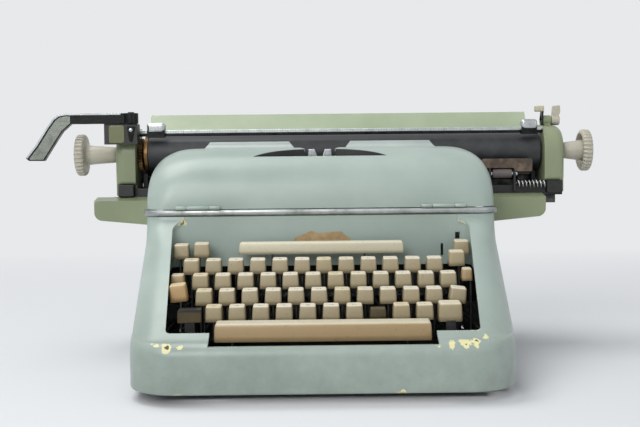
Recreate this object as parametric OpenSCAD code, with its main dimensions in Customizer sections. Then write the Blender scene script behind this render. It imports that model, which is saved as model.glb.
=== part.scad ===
// Manual office typewriter with a wide carriage.
// Millimetres, +X to the typist's right, +Y to the back, +Z up, standing on Z = 0.

/* [Case] */
// Width of the case behind the keyboard
case_w = 316; // [300:1:340]
// How much each side of the case draws in at the front
case_toe = 6; // [0:0.5:10]
// Depth of the case from apron to back panel
case_d = 335; // [320:1:360]
// Height of the case's lower edge above the table
ground_gap = 9; // [6:0.5:14]
// Height of the case's top edge, under the trim strip
case_top = 137; // [132:1:144]
// Thickness of the case, hood and cover sheet
sheet_t = 2.2; // [1.6:0.1:3]
// Height of the apron beside the space bar
apron_top = 49; // [46:0.5:52]
// Rounding of the apron's top edge
apron_r = 12; // [6:0.5:16]
// Radius of the case's front corners, seen from above
corner_r = 40; // [25:1:50]
// Width of each rounded cheek beside the keyboard
cheek_w = 29; // [24:0.5:32]
// Rise of the cheeks over their run
cheek_slope = 0.6; // [0.5:0.01:0.7]
// Distance from the apron's face to the panel under the trim
panel_y = 150; // [147:1:155]
// Height of the trim strip
trim_h = 6; // [4:0.5:8]
// How far the trim strip stands proud of the case
trim_proud = 3; // [1:0.5:4]
// Width of the gap in the apron that takes the space bar
bar_gap_w = 177; // [172:1:190]
// Depth of that gap below the apron's top
bar_gap_h = 3.5; // [2:0.5:8]

/* [Hood] */
// Height of the hood above the trim strip
hood_h = 55; // [48:1:60]
// Distance from the panel to the hood's back edge
hood_d = 62; // [54:1:66]
// Height of the deflector lips above the hood's crown
lip_h = 6; // [3:0.5:8]
// Width of each deflector lip
lip_w = 85; // [70:1:95]
// Gap between the two lips, where the type strikes
lip_gap = 48; // [40:1:60]
// Width of the lens-shaped opening over the type guide
lens_w = 124; // [100:1:140]
// Depth of that opening, front to back
lens_d = 17; // [12:0.5:20]

/* [Keyboard] */
// Distance between neighbouring keys in a row
key_pitch = 19.05; // [18.5:0.05:19.5]
// Distance between rows, front to back
row_pitch = 18.5; // [18:0.1:19.5]
// Rise from one row to the next
row_rise = 10.8; // [9:0.1:12]
// Distance from the apron's face to the front of the lowest row
row_y = 52; // [50:0.5:55]
// Height of the lowest row's key tops
row_z = 70.5; // [68:0.5:74]
// Width of a key cap at its foot
cap_w = 14.2; // [12:0.1:15]
// Depth of a key cap at its foot
cap_d = 13.4; // [11:0.1:14]
// Height of a key cap
cap_h = 13.5; // [9:0.5:14]
// How much narrower each side of a key cap is at the top
cap_taper = 0.7; // [0:0.1:1.5]
// Slope of the key tops towards the typist, in degrees
cap_tilt = 5; // [0:0.5:8]
// How far the lettered keys stand to the left of the bars
key_shift = 2.6; // [0:0.1:4]
// Thickness of a key lever
lever_t = 1.6; // [1.2:0.1:2]
// Depth of a key lever's bar
lever_bar_h = 6; // [4:0.5:8]
// Radius of the rod that the key levers turn on
fulcrum_r = 3; // [2.5:0.1:4]
// Distance from the apron's face to that rod
fulcrum_y = 288; // [280:1:292]
// Height of that rod
fulcrum_z = 44; // [40:1:50]
// Length of the space bar
space_w = 171; // [160:1:173]
// Height of the space bar's top at its back edge
space_z = 61; // [59:0.5:64]
// Length of the tabulator bar
tab_w = 145; // [130:1:150]
// Height of the tabulator bar's top at its back edge
tab_z = 115.5; // [113:0.5:118]

/* [Carriage] */
// How far the carriage stands to the right of the middle
carriage_x = 20; // [0:0.5:30]
// Distance between the outer faces of the carriage's end plates
carriage_w = 437; // [432:1:450]
// Thickness of each end plate
end_t = 20; // [17:0.5:22]
// Distance from the apron's face to the platen's axis
platen_y = 256; // [254:1:260]
// Height of the platen's axis
platen_z = 193; // [190:1:197]
// Radius of the rubber platen
platen_r = 18; // [16.5:0.5:18.5]
// Radius of the platen's shaft
shaft_r = 4; // [3:0.1:5]
// Radius of the platen knobs
knob_r = 20.5; // [17:0.5:24]
// Thickness of a platen knob's disc
knob_t = 10.5; // [8:0.5:14]
// Length of the left knob's neck
neck_left = 31.5; // [24:0.5:36]
// Length of the right knob's neck
neck_right = 19.5; // [12:0.5:24]
// Distance from the carriage's middle to the return lever's tip
lever_reach = 302; // [294:1:310]
// Radius of the feed roller under the platen
feed_r = 6; // [4.5:0.1:6.5]
// Width of the paper table
table_w = 388; // [340:1:392]
// Height of the paper table's plate
table_h = 42; // [36:1:46]
// Lean of the paper table from upright, in degrees
table_lean = 36; // [30:1:42]

/* [Fits] */
// Radial clearance of a shaft or pin in its hole
run_gap = 0.06; // [0.02:0.01:0.1]
// Clearance between parts that pass each other
pass_gap = 0.4; // [0.3:0.05:0.8]

/* [Hidden] */
$fn = 48;
half_w = case_w / 2;
trim_top = case_top + trim_h;
hood_top = trim_top + hood_h;
hood_back = panel_y + hood_d;
// The cheeks' corners draw in by this much, from this height, where they run up into the panel
top_draw = [9, 28];
top_draw_z = 112;
top_draw_h = 20;
cheek_ry = 46;
cheek_fillet = 4;
back_r = 12;
trim_rx = 20;
trim_ry = 18;
well_front = 20;
well_foot = ground_gap + 8;
// Slots in the panel: left edge, lower edge, width, height
short_slot = [120.4, 114.6, 4, 6];
tall_slot = [107.4, 99.7, 2.2, 10.8];
flange_w = 24;
flange_y = 60;
well_half = half_w - case_toe - cheek_w;
well_flare = 9.7;
well_back = panel_y + 3;
// The panel's face lies this far in front of the trim's line. Its sides are returned along the well, this far
// outside it, from this depth on
panel_set = 0.3;
return_gap = 1;
return_y = 95;
panel_foot = 92;
window_half = half_w - 24;
window_foot = ground_gap + 16;
window_h = 90;
panel_lap = 5;
carriage_end = carriage_w / 2;
knob_left_out = carriage_end + neck_left + knob_t;
knob_right_out = carriage_end + neck_right + knob_t;
// The row's origin is under the middle of the whole machine's box
origin_x = -(2 * carriage_x - lever_reach + knob_right_out) / 2;
origin_y = -case_d / 2;
rail_top = 150;
rail_half = 212;
// The rails stand out beyond the right cover by this much more
rail_over = 19;
rail_front_y = 240;
rail_back_y = 286;
rail_w = 10;
rail_h = 8;
bed_t = 3;
plate_in = carriage_end - end_t;
chassis_half = half_w - 10;
chassis_t = 2.5;
chassis_front = 64;
chassis_foot = ground_gap + sheet_t;
pin_r = 1;
knuckle_r = 1.8;
hinge_y = panel_y - knuckle_r - pass_gap;
hinge_z = trim_top + knuckle_r - 0.2;
hinge_x = 90;
hinge_leaf = 10;
segment_y = hood_back - 4;
segment_z = 160;
segment_r = 48;
spool_x = 108;
spool_y = panel_y + 36;
spool_z = 146;
spool_r = 21;
spool_h = 15;
spindle_r = 3;
cross_z = 82;
cross_h = 8;
drum_r = 28;
drum_x = -96;
drum_y = case_d - 34;
drum_z = 108;
rack_y = 300;
rack_z = 168.5;
stop_w = 14;
table_foot_y = platen_y + 28;
table_foot_z = platen_z + 6;
bail_pivot_y = platen_y + 16;
bail_pivot_z = platen_z + 21;
bail_y = platen_y - 16;
bail_z = platen_z + 20.5;
feed_y = platen_y + 10;
feed_z = platen_z - sqrt(pow(platen_r + feed_r + pass_gap, 2) - 100);
end_r = 25;
tab_ear_x = plate_in + 4;
tab_ear_y = platen_y + 4;
tab_ear_z = platen_z + end_r + 5;
arm_t = 1.2;
arm_x = plate_in - pass_gap;

enamel = "#9fb0a4";
olive = "#9aa184";
ivory = "#cfc3a2";
steel = "#8c8f92";
dark = "#2d2d2c";
rubber = "#38383a";
rust = "#6b4a3a";

// Moves a piece from the machine's own frame, middle of the apron's foot, to the row's origin
module place() { translate([origin_x, origin_y, 0]) children(); }

// Moves a carriage piece from the carriage's middle to where the carriage stands
module on_carriage() { place() translate([carriage_x, 0, 0]) children(); }

// A solid through closed rings of points, each ring level and of the same count
module loft(rings) {
    n = len(rings[0]);
    m = len(rings);
    polyhedron(
        points = [for (ring = rings) each ring],
        faces = concat(
            [[for (i = [0:n - 1]) i]],
            [[for (i = [n - 1:-1:0]) (m - 1) * n + i]],
            [for (j = [0:m - 2], i = [0:n - 1]) [j * n + i, (j + 1) * n + i, (j + 1) * n + (i + 1) % n]],
            [for (j = [0:m - 2], i = [0:n - 1])
                [j * n + i, (j + 1) * n + (i + 1) % n, j * n + (i + 1) % n]]));
}

function arc(cx, cy, rx, ry, from, steps) =
    [for (i = [0:steps]) let (a = from + 90 * i / steps) [cx + rx * cos(a), cy + ry * sin(a)]];

// A level outline with oval front corners and round back corners
function plan(w, front, back, rx, ry, rb, steps) = concat(
    arc(w - rx, front + ry, rx, ry, -90, steps), arc(w - rb, back - rb, rb, rb, 0, 4),
    arc(-w + rb, back - rb, rb, rb, 90, 4), arc(-w + rx, front + ry, rx, ry, 180, steps));

// Half width of the case draws in towards the front
function toed(p) = [p.x * (1 - case_toe / half_w * max(0, 1 - p.y / panel_y)), p.y];

// Front of the case at a height: apron, rounded edge, then the cheeks' slope running into the panel
function cheek_y(z) = apron_r + (z - apron_top) / cheek_slope;
function soft_min(a, b, k) = -k * ln(exp(-a / k) + exp(-b / k));
function case_front(z) =
    z <= apron_top - apron_r ? 0
    : z <= apron_top ? apron_r - sqrt(max(0, apron_r * apron_r - pow(z - apron_top + apron_r, 2)))
    : soft_min(cheek_y(z), panel_y, cheek_fillet);
function blend(a, b, t) = a + (b - a) * min(1, max(0, t));
function case_rx(z) = blend(corner_r, cheek_w, (z - apron_top + apron_r) / apron_r)
    - blend(0, top_draw.x, (z - top_draw_z) / top_draw_h);
function case_ry(z) = blend(corner_r, cheek_ry, (z - apron_top + apron_r) / apron_r)
    - blend(0, top_draw.y, (z - top_draw_z) / top_draw_h);
function case_ring(z, inset, at) = [
    for (p = plan(half_w - inset, case_front(at) + inset, case_d - inset,
        case_rx(at) - inset, case_ry(at) - inset, back_r - inset, 9)) [each toed(p), z]];
case_levels = concat([ground_gap], [for (t = [0:30:90]) apron_top - apron_r + apron_r * sin(t)],
    [for (i = [1:10]) apron_top + (case_top - apron_top) * i / 10]);

module case_solid() { loft([for (z = case_levels) case_ring(z, 0, z)]); }

module case_hollow() {
    loft([for (i = [0:len(case_levels) - 1]) let (z = case_levels[i])
        case_ring(i == 0 ? z - 1 : i == len(case_levels) - 1 ? z + 1 : z - sheet_t, sheet_t, z)]);
}

module well_shape() {
    polygon([[-well_half, well_front], [well_half, well_front],
        [well_half + well_flare, well_back], [-well_half - well_flare, well_back]]);
}

module panel_returns() intersection() {
    difference() {
        offset(delta = return_gap + sheet_t) well_shape();
        offset(delta = return_gap) well_shape();
    }
    translate([-half_w, return_y]) square([case_w, panel_y - panel_set + sheet_t - return_y]);
}

module panel_slot(slot) { translate([slot[0], panel_y - 12, slot[1]]) cube([slot[2], 20, slot[3]]); }

module lower_case() color(enamel) place() {
    difference() {
        case_solid();
        case_hollow();
        translate([0, 0, well_foot]) linear_extrude(case_top) well_shape();
        translate([-bar_gap_w / 2, -1, apron_top - bar_gap_h]) cube([bar_gap_w, well_front + 2, 20]);
        translate([-window_half, case_d - 8, window_foot]) cube([2 * window_half, 16, window_h]);
    }
    // The panel behind the top row of keys
    difference() {
        intersection() {
            case_solid();
            union() {
                translate([-well_half - well_flare - panel_lap, panel_y - panel_set, panel_foot])
                    cube([2 * (well_half + well_flare + panel_lap), sheet_t, case_top - panel_foot]);
                translate([0, 0, panel_foot]) linear_extrude(case_top - panel_foot) panel_returns();
            }
        }
        panel_slot(tall_slot);
        panel_slot(short_slot);
    }
    // Turned-in flanges that the chassis and the feet bolt to
    for (s = [-1, 1])
        translate([s * (chassis_half - 8) - flange_w / 2, flange_y, ground_gap])
            cube([flange_w, case_d - flange_y - 20, sheet_t]);
}

module trim_strip() color(steel) place() difference() {
    union() {
        linear_extrude_at(case_top, trim_h) trim_shape(trim_proud);
        for (s = [-1, 1], x = [0, 3 * hinge_leaf]) hinge_barrel(s, x, hinge_leaf - pass_gap, knuckle_r);
    }
    linear_extrude_at(case_top - 1, trim_h + 2) trim_shape(-sheet_t);
    translate([-half_w - 20, hood_back, case_top - 1]) cube([case_w + 40, case_d, trim_h + 2]);
    for (s = [-1, 1]) {
        hinge_barrel(s, -1, 4 * hinge_leaf + 2, pin_r + run_gap);
        hinge_barrel(s, hinge_leaf - pass_gap, 2 * hinge_leaf + pass_gap, knuckle_r + pass_gap);
    }
}

// A length of the hood hinge's axis, on one side of the middle
module hinge_barrel(side, from, length, r) {
    mirror([side < 0 ? 1 : 0, 0, 0]) translate([hinge_x + from, hinge_y, hinge_z]) rotate([0, 90, 0])
        cylinder(h = length, r = r);
}

module linear_extrude_at(z, h) { translate([0, 0, z]) linear_extrude(h) children(); }
module trim_shape(grow) {
    polygon(plan(half_w + grow, panel_y - grow, case_d, trim_rx + grow, trim_ry + grow, back_r, 8));
}

module back_panel() color(enamel) place()
    translate([-window_half - panel_lap, case_d - 2 * sheet_t, window_foot - panel_lap])
        cube([2 * (window_half + panel_lap), sheet_t, window_h + 2 * panel_lap]);

// Cover over one end of the carriage rails, with its lower outer corner rounded
cover_foot = 125.6;
cover_rise = 4.4;
cover_r = 8;
cover_edge = rail_top - 1;
cover_top = rail_top + 2;
cover_back = rail_front_y - 8;
module rail_cover(side) color(olive) place() mirror([side < 0 ? 1 : 0, 0, 0]) {
    inner = half_w + trim_proud + 1;
    outer = rail_half + 4;
    front = hood_back + 2;
    corner_z = cover_foot + cover_rise + cover_r;
    translate([0, front + sheet_t, 0]) rotate([90, 0, 0]) linear_extrude(sheet_t) union() {
        polygon([[inner, cover_foot], [outer - cover_r, cover_foot + cover_rise],
            [outer - cover_r, cover_edge], [inner, cover_edge]]);
        translate([outer - cover_r, corner_z]) circle(cover_r);
        translate([outer - cover_r - 1, corner_z]) square([cover_r + 1, cover_edge - corner_z]);
    }
    // Top of the cover, rising a little to the back
    translate([inner, 0, 0]) rotate([90, 0, 90]) linear_extrude(outer - inner)
        polygon([[front, cover_edge - sheet_t], [cover_back, cover_top - sheet_t],
            [cover_back, cover_top], [front, cover_edge]]);
    // Web that bolts to the end of the front rail
    translate([rail_half - sheet_t, front + 1, rail_top - rail_h])
        cube([sheet_t, rail_front_y - front - 1, rail_h - 2]);
}

module rail_cover_left() rail_cover(-1);
module rail_cover_right() rail_cover(1);

// Inner frame: two side plates, cross bars, spool shelves and spindles
module chassis() color(dark) place() {
    difference() {
        for (s = [-1, 1])
            translate([s * chassis_half - chassis_t / 2, 0, 0]) rotate([90, 0, 90]) linear_extrude(chassis_t)
                polygon([[chassis_front, chassis_foot], [case_d - 20, chassis_foot],
                    [case_d - 20, rail_top - rail_h], [hood_back + 14, rail_top - rail_h],
                    [hood_back + 2, 120], [panel_y + 6, 110], [110, 56], [chassis_front, 40]]);
        translate([0, fulcrum_y, fulcrum_z]) rotate([0, 90, 0])
            cylinder(h = case_w, r = fulcrum_r, center = true);
    }
    translate([-chassis_half, case_d - 24, chassis_foot]) cube([2 * chassis_half, chassis_t, 20]);
    translate([-chassis_half, chassis_front + 6, chassis_foot]) cube([2 * chassis_half, 16, chassis_t]);
    translate([-chassis_half, segment_y - 11, cross_z]) cube([2 * chassis_half, 22, cross_h]);
    for (s = [-1, 1]) translate([s * segment_post_x, segment_y - segment_t / 2, cross_z + 1])
        cylinder(h = 62, r = segment_post_r);
    // Shelf and spindle for each ribbon spool
    for (s = [-1, 1]) {
        translate([s * spool_x - 16, spool_y - 6, spool_z - chassis_t - 1])
            cube([32, segment_y + 8 - spool_y, chassis_t]);
        translate([s * spool_x - 3, segment_y + 2, cross_z + 1]) cube([6, 6, spool_z - cross_z - 2]);
        translate([s * spool_x, spool_y, spool_z - 2]) cylinder(h = spool_h + 5, r = spindle_r - run_gap);
    }
    // Post for the mainspring drum
    translate([drum_x, drum_y, ground_gap + sheet_t]) cylinder(h = drum_z + 14 - ground_gap, r = 3);
    translate([drum_x - 12, drum_y - 12, drum_z - 4]) cube([24, case_d - 22 - drum_y + 12, 3]);
    translate([drum_x - 12, case_d - 24, chassis_foot]) cube([24, chassis_t, drum_z - 3 - ground_gap]);
}

module feet() color(rubber) place()
    for (x = [-1, 1], y = [74, case_d - 44])
        translate([x * (chassis_half - 10), y, 0]) cylinder(h = ground_gap, r1 = 9, r2 = 10.5);

// Plate that closes the underside between the case's flanges
base_t = 1.5;
module base_plate() color(dark) place()
    translate([-chassis_half + 20, well_front + 8, ground_gap + sheet_t - base_t])
        cube([2 * chassis_half - 40, case_d - well_front - 28, base_t]);

module key_fulcrum() color(steel) place()
    translate([0, fulcrum_y, fulcrum_z]) rotate([0, 90, 0])
        cylinder(h = 2 * chassis_half + chassis_t + 4, r = fulcrum_r, center = true);

module hood_hinge_pins() color(steel) place()
    for (s = [-1, 1]) hinge_barrel(s, 0, 4 * hinge_leaf - pass_gap, pin_r);

// Hood: level rings that draw in over the shoulders to a flat crown
hood_foot = trim_top + pass_gap;
lip_root = 4;
lip_slant = 5;
lens_edge = 22.5;
// The crown is open from the lens to the back edge, between the lips: half widths there and here
notch_half = [14, lip_gap / 2];
shoulder_w = 48;
crown_run = 53;
function hood_half(t) = half_w - shoulder_w * (1 - pow(1 - pow(t, 3), 1 / 3));
function hood_front(t) = panel_y + crown_run * (1 - pow(1 - pow(t, 2.2), 1 / 2.2));
function hood_ring(t, inset, z, back) = let (f = hood_front(t) + inset, w = hood_half(t) - inset) [
    for (p = plan(w, f, back, trim_rx + 25 * t - inset,
        min(trim_ry + 8 * t - inset, 0.8 * (hood_back - f)), 1, 8)) [each p, z]];
hood_steps = [for (i = [0:9]) sin(10 * i)];

module hood() color(enamel) place() {
    difference() {
        union() {
            loft([for (t = hood_steps) hood_ring(t, 0, hood_foot + (hood_top - hood_foot) * t, hood_back)]);
            for (s = [-1, 1]) mirror([s < 0 ? 1 : 0, 0, 0]) translate([lip_gap / 2, 0, hood_top - lip_root])
                translate([0, hood_back, 0]) rotate([90, 0, 0]) linear_extrude(sheet_t)
                    polygon([[0, 0], [lip_w, 0], [lip_w, lip_root], [lip_w - lip_slant, lip_root + lip_h],
                        [lip_slant, lip_root + lip_h], [0, lip_root]]);
        }
        loft([for (i = [0:9]) let (t = hood_steps[i])
            hood_ring(t, sheet_t, i == 0 ? hood_foot - 1 : hood_foot + (hood_top - hood_foot) * t - sheet_t,
                hood_back + 5)]);
        lens_opening();
    }
    for (s = [-1, 1]) difference() {
        union() {
            hinge_barrel(s, hinge_leaf, 2 * hinge_leaf - pass_gap, knuckle_r);
            mirror([s < 0 ? 1 : 0, 0, 0]) translate([hinge_x + hinge_leaf, hinge_y, hinge_z])
                cube([2 * hinge_leaf - pass_gap, panel_y + 1 - hinge_y, knuckle_r]);
        }
        hinge_barrel(s, 0, 4 * hinge_leaf, pin_r + run_gap);
    }
}

module lens_opening() {
    r = (pow(lens_w / 2, 2) + lens_d * lens_d) / (2 * lens_d);
    front = hood_back - lens_edge - lens_d;
    translate([0, 0, hood_top - 25]) linear_extrude(40) intersection() {
        translate([0, front + lens_d - r]) circle(r);
        translate([-lens_w, front]) square([2 * lens_w, 2 * lens_d]);
    }
    back = hood_back - lens_edge - 1;
    translate([0, 0, hood_top - lip_root - 1]) linear_extrude(lip_root + lip_h)
        polygon([[-notch_half.x, back], [notch_half.x, back],
            [notch_half.y, hood_back + 1], [-notch_half.y, hood_back + 1]]);
}

// Type segment: a half ring that the type bars hang on, sliding on two posts of the frame
segment_t = 12;
segment_post_x = 66;
segment_post_r = 3;
bar_count = 44;
bar_fan = 150;
bar_l = 38;
bar_t = 1.2;
bar_h = 5;
// Type slug at the bar's end
slug = [2, 5, 9];
guide_half = 16;
guide_top = 196.5;
guide_notch = 188;
guide_waist = 150;

module type_segment() color(steel) place() difference() {
    union() {
        translate([0, segment_y, segment_z]) rotate([90, 0, 0]) difference() {
            cylinder(h = segment_t, r = segment_r + 10);
            translate([0, 0, -1]) cylinder(h = segment_t + 2, r = segment_r - 6);
            translate([-80, -8, -1]) cube([160, 80, segment_t + 2]);
        }
        for (s = [-1, 1]) mirror([s < 0 ? 1 : 0, 0, 0])
            translate([segment_r - 8, segment_y - segment_t, segment_z - 38])
                cube([segment_post_x + 20 - segment_r, segment_t, 10]);
    }
    for (s = [-1, 1]) translate([s * segment_post_x, segment_y - segment_t / 2, 0])
        cylinder(h = 200, r = segment_post_r + run_gap);
}

module typebars() color(steel) place()
    for (i = [0:bar_count - 1]) let (a = (i / (bar_count - 1) - 0.5) * bar_fan)
        translate([0, segment_y - segment_t - bar_l, segment_z]) rotate([0, a, 0]) {
            translate([-bar_t / 2, 0, -segment_r - 3]) cube([bar_t, bar_l, bar_h]);
            translate([-slug.x / 2, -3, -segment_r - 5]) cube(slug);
        }

module type_guide() color(steel) place()
    translate([0, segment_y + 8, 0]) rotate([90, 0, 0]) linear_extrude(3)
        polygon([[-guide_half, cross_z + cross_h], [guide_half, cross_z + cross_h], [guide_half, guide_waist],
            [11, guide_top], [5, guide_top], [2, guide_notch], [-2, guide_notch], [-5, guide_top],
            [-11, guide_top], [-guide_half, guide_waist]]);

module spool(side) color(steel) place() translate([side * spool_x, spool_y, spool_z]) difference() {
    union() {
        cylinder(h = 1.2, r = spool_r);
        cylinder(h = spool_h, r = 12);
        translate([0, 0, spool_h - 1.2]) cylinder(h = 1.2, r = spool_r);
    }
    translate([0, 0, -1]) cylinder(h = spool_h + 2, r = spindle_r);
}
module spool_left() spool(-1);
module spool_right() spool(1);

// Inked ribbon, drawn tight from spool to spool behind the type guide
module ribbon() color(dark) place()
    for (s = [-1, 1]) mirror([s < 0 ? 1 : 0, 0, 0]) linear_extrude_at(spool_z + 2, spool_h - 4) polygon([
        [0, segment_y + 10], [20, segment_y + 10], [spool_x, spool_y + 12 + pass_gap],
        [spool_x, spool_y + 12.6 + pass_gap], [20, segment_y + 10.6], [0, segment_y + 10.6]]);

module mainspring_drum() color(steel) place() translate([drum_x, drum_y, drum_z - 1 + 0.3]) difference() {
    cylinder(h = 15, r = drum_r);
    translate([0, 0, -1]) cylinder(h = 17, r = 3 + run_gap);
    translate([0, 0, 4]) rotate_extrude() translate([drum_r - 2, 0]) square([4, 7]);
}

module carriage_rail() color(steel) place() {
    for (y = [rail_front_y, rail_back_y]) translate([-rail_half, y, rail_top - rail_h])
        cube([2 * rail_half + rail_over, rail_w, rail_h - 0.2]);
    for (s = [-1, 1]) translate([s * (rail_half - 12) - 6, rail_front_y, rail_top - rail_h])
        cube([12, rail_back_y - rail_front_y, 3]);
}

// Carriage bed: a tray that runs on the rails, with a lip in front and behind
bed_lap = 6;
lip_z = 10;
hook = [15, 9, 11.3];
hook_gap = 2.6;
hook_x = plate_in + 1.5;
end_foot_h = 14;
bed_y = rail_front_y - bed_lap;
bed_d = rail_back_y + rail_w + bed_lap - bed_y;
module carriage_bed() color(dark) on_carriage() {
    translate([-carriage_end + 2, bed_y, rail_top]) cube([carriage_w - 4, bed_d, bed_t]);
    for (y = [bed_y, bed_y + bed_d - bed_t])
        translate([-carriage_end + 2, y, rail_top]) cube([carriage_w - 4, bed_t, lip_z]);
    // Block in front of each end, over the rail cover
    for (s = [-1, 1]) mirror([s < 0 ? 1 : 0, 0, 0])
        translate([hook_x, bed_y + 1 - hook.y, rail_top + hook_gap]) cube(hook);
    // Seats of the feed roller and the lugs of the margin rack
    for (s = [-1, 1]) translate([s * (plate_in - 5) - 2, feed_y, 0]) difference() {
        translate([0, -6, rail_top]) cube([4, 12, feed_z + 3.6 - rail_top]);
        translate([-1, 0, feed_z]) rotate([0, 90, 0]) cylinder(h = 6, r = 2 + run_gap);
    }
}

// End plate: a deep pressed cover, round about the platen's axis, with ears for the pivots behind it
end_foot_d = 36;
ear_t = 8;
ear_r = 5;
ear_pin = 2;
module end_plate(side) color(olive) on_carriage() mirror([side < 0 ? 1 : 0, 0, 0]) difference() {
    union() {
        translate([plate_in, 0, 0]) rotate([90, 0, 90]) linear_extrude(end_t) union() {
            translate([platen_y, platen_z]) circle(end_r);
            translate([platen_y - end_r, rail_top + end_foot_h])
                square([2 * end_r, platen_z - rail_top - end_foot_h]);
            translate([platen_y - end_foot_d / 2, rail_top + bed_t]) square([end_foot_d, end_foot_h]);
        }
        ear(plate_in, table_foot_y, table_foot_z, 8);
        ear(plate_in, bail_pivot_y, bail_pivot_z, 8);
        if (side > 0) ear(tab_ear_x, tab_ear_y, tab_ear_z, 8);
    }
    translate([0, platen_y, platen_z]) rotate([0, 90, 0]) cylinder(h = 400, r = shaft_r + run_gap);
    pivot_hole(plate_in, table_foot_y, table_foot_z);
    pivot_hole(plate_in, bail_pivot_y, bail_pivot_z);
    if (side > 0) pivot_hole(tab_ear_x, tab_ear_y, tab_ear_z);
}
// An ear on an end plate: a round boss with a web down to the plate
module ear(x, y, z, drop) {
    translate([x, y, z]) rotate([0, 90, 0]) cylinder(h = ear_t, r = ear_r);
    inner = min(y - ear_r, platen_y + 8);
    translate([x, inner, z - drop]) cube([ear_t, y - inner, drop]);
}
module pivot_hole(x, y, z) {
    translate([x - 1, y, z]) rotate([0, 90, 0]) cylinder(h = ear_t + 2, r = ear_pin + run_gap);
}
module end_plate_left() end_plate(-1);
module end_plate_right() end_plate(1);

// Curved sheet behind the platen that turns the paper up
pan_t = 1.5;
pan_r = platen_r + 5;
pan_front = feed_y + 9;
pan_top = platen_z + 10;
module paper_pan() color(steel) on_carriage() {
    difference() {
        along_x(2 * plate_in, platen_y, platen_z) cylinder(h = 2 * plate_in, r = pan_r);
        along_x(2 * plate_in + 2, platen_y, platen_z) cylinder(h = 2 * plate_in + 2, r = pan_r - pan_t);
        translate([-carriage_w, platen_y - 60, pan_top]) cube([2 * carriage_w, 120, 60]);
        translate([-carriage_w, pan_front - 80, platen_z - 60]) cube([2 * carriage_w, 80, 100]);
    }
    // Skirt down to the bed
    skirt_top = platen_z - sqrt(pow(pan_r - pan_t / 2, 2) - pow(pan_front + pan_t / 2 - platen_y, 2));
    translate([-plate_in, pan_front, rail_top + bed_t])
        cube([2 * plate_in, pan_t, skirt_top - rail_top - bed_t]);
}
module along_x(length, y, z) { translate([-length / 2, y, z]) rotate([0, 90, 0]) children(); }

// Plate and ears in front of the platen's right end, which hold the small roller
stop_left = 137;
stop_right = 186;
// Rise of its foot above the bed's lip, and its heights from there
stop_rise = 10;
stop_step_h = 6.5;
stop_h = 15.5;
stop_round = 4;
stop_foot = rail_top + lip_z + stop_rise;
stop_step = stop_foot + stop_step_h;
stop_top = stop_foot + stop_h;
ear_w = 2;
ear_lap = 6;
ear_foot = rail_top + lip_z - ear_lap;
roller_x = 148;
roller_l = 18;
roller_r = 4.4;
roller_y = bed_y - 1;
roller_rise = 1;
roller_z = stop_foot + roller_rise;
module stop_plate() color(rust) on_carriage() difference() {
    union() {
        translate([0, bed_y, 0]) rotate([90, 0, 0]) linear_extrude(2) union() {
            translate([stop_left, stop_step])
                square([stop_right - stop_left - stop_round, stop_top - stop_step]);
            translate([spring_from - ear_w, stop_foot + stop_round])
                square([stop_right - spring_from + ear_w, stop_top - stop_foot - 2 * stop_round]);
            translate([spring_from - ear_w, stop_foot])
                square([stop_right - spring_from + ear_w - stop_round, stop_top - stop_foot]);
            for (z = [stop_foot + stop_round, stop_top - stop_round])
                translate([stop_right - stop_round, z]) circle(stop_round);
        }
        // Ears of the roller, down to the bed's front lip
        for (x = [roller_x - 2 * ear_w, spring_from - ear_w])
            translate([x, bed_y - 5, ear_foot]) cube([ear_w, 5, stop_top - ear_foot]);
    }
    along_roller(60, 1.5 + run_gap);
}
module along_roller(length, r) {
    translate([roller_x + roller_l / 2 - length / 2, roller_y - 1, roller_z]) rotate([0, 90, 0])
        cylinder(h = length, r = r);
}
module side_roller() color(steel) on_carriage() {
    along_roller(roller_l, roller_r);
    along_roller(roller_l + 10, 1.5);
}

// Release spring: one unbroken wire wound between the stop plate's ear and the bed's block
spring_wire = 1.3;
spring_coil = 3.6;
spring_turns = 8;
spring_y = bed_y - 5;
spring_drop = 9.1;
spring_z = stop_foot - spring_drop;
spring_from = roller_x + roller_l + 2 * ear_w;
spring_end_gap = 0.3;
spring_l = hook_x - spring_from - 2 * spring_end_gap;
spring_lead = spring_wire;
function spring_axis(k) = let (n = 8 * spring_turns, i = min(n, max(0, k - 1)),
    x = spring_from + spring_end_gap + spring_lead + (spring_l - 2 * spring_lead) * i / n)
    [k == 0 ? x - spring_lead : k == n + 2 ? x + spring_lead : x,
        spring_y + spring_coil * cos(45 * i), spring_z + spring_coil * sin(45 * i)];
spring_path = [for (k = [0:8 * spring_turns + 2]) spring_axis(k)];
spring_gap = min([for (i = [0:len(spring_path) - 10]) norm(spring_path[i + 8] - spring_path[i])])
    - spring_wire;
echo(spring_least_gap = spring_gap);
module release_spring() color(steel) on_carriage() tube(spring_path, spring_wire / 2, 6);

// A tube of few sides along a path that runs mostly round the X axis
function unit(v) = v / norm(v);
module tube(path, r, sides) {
    n = len(path);
    ring = [for (i = [0:n - 1])
        let (t = i == 0 || i == n - 1 ? [1, 0, 0] : unit(path[i + 1] - path[i - 1]),
            u = unit(cross(t, [0, path[i].y - spring_y, path[i].z - spring_z])), v = cross(t, u))
        for (j = [0:sides - 1]) path[i] + r * (u * cos(360 * j / sides) + v * sin(360 * j / sides))];
    polyhedron(points = ring, faces = concat(
        [[for (j = [sides - 1:-1:0]) j]], [[for (j = [0:sides - 1]) (n - 1) * sides + j]],
        [for (i = [0:n - 2], j = [0:sides - 1])
            [i * sides + j, i * sides + (j + 1) % sides, (i + 1) * sides + j]],
        [for (i = [0:n - 2], j = [0:sides - 1])
            [i * sides + (j + 1) % sides, (i + 1) * sides + (j + 1) % sides, (i + 1) * sides + j]]));
}

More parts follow.
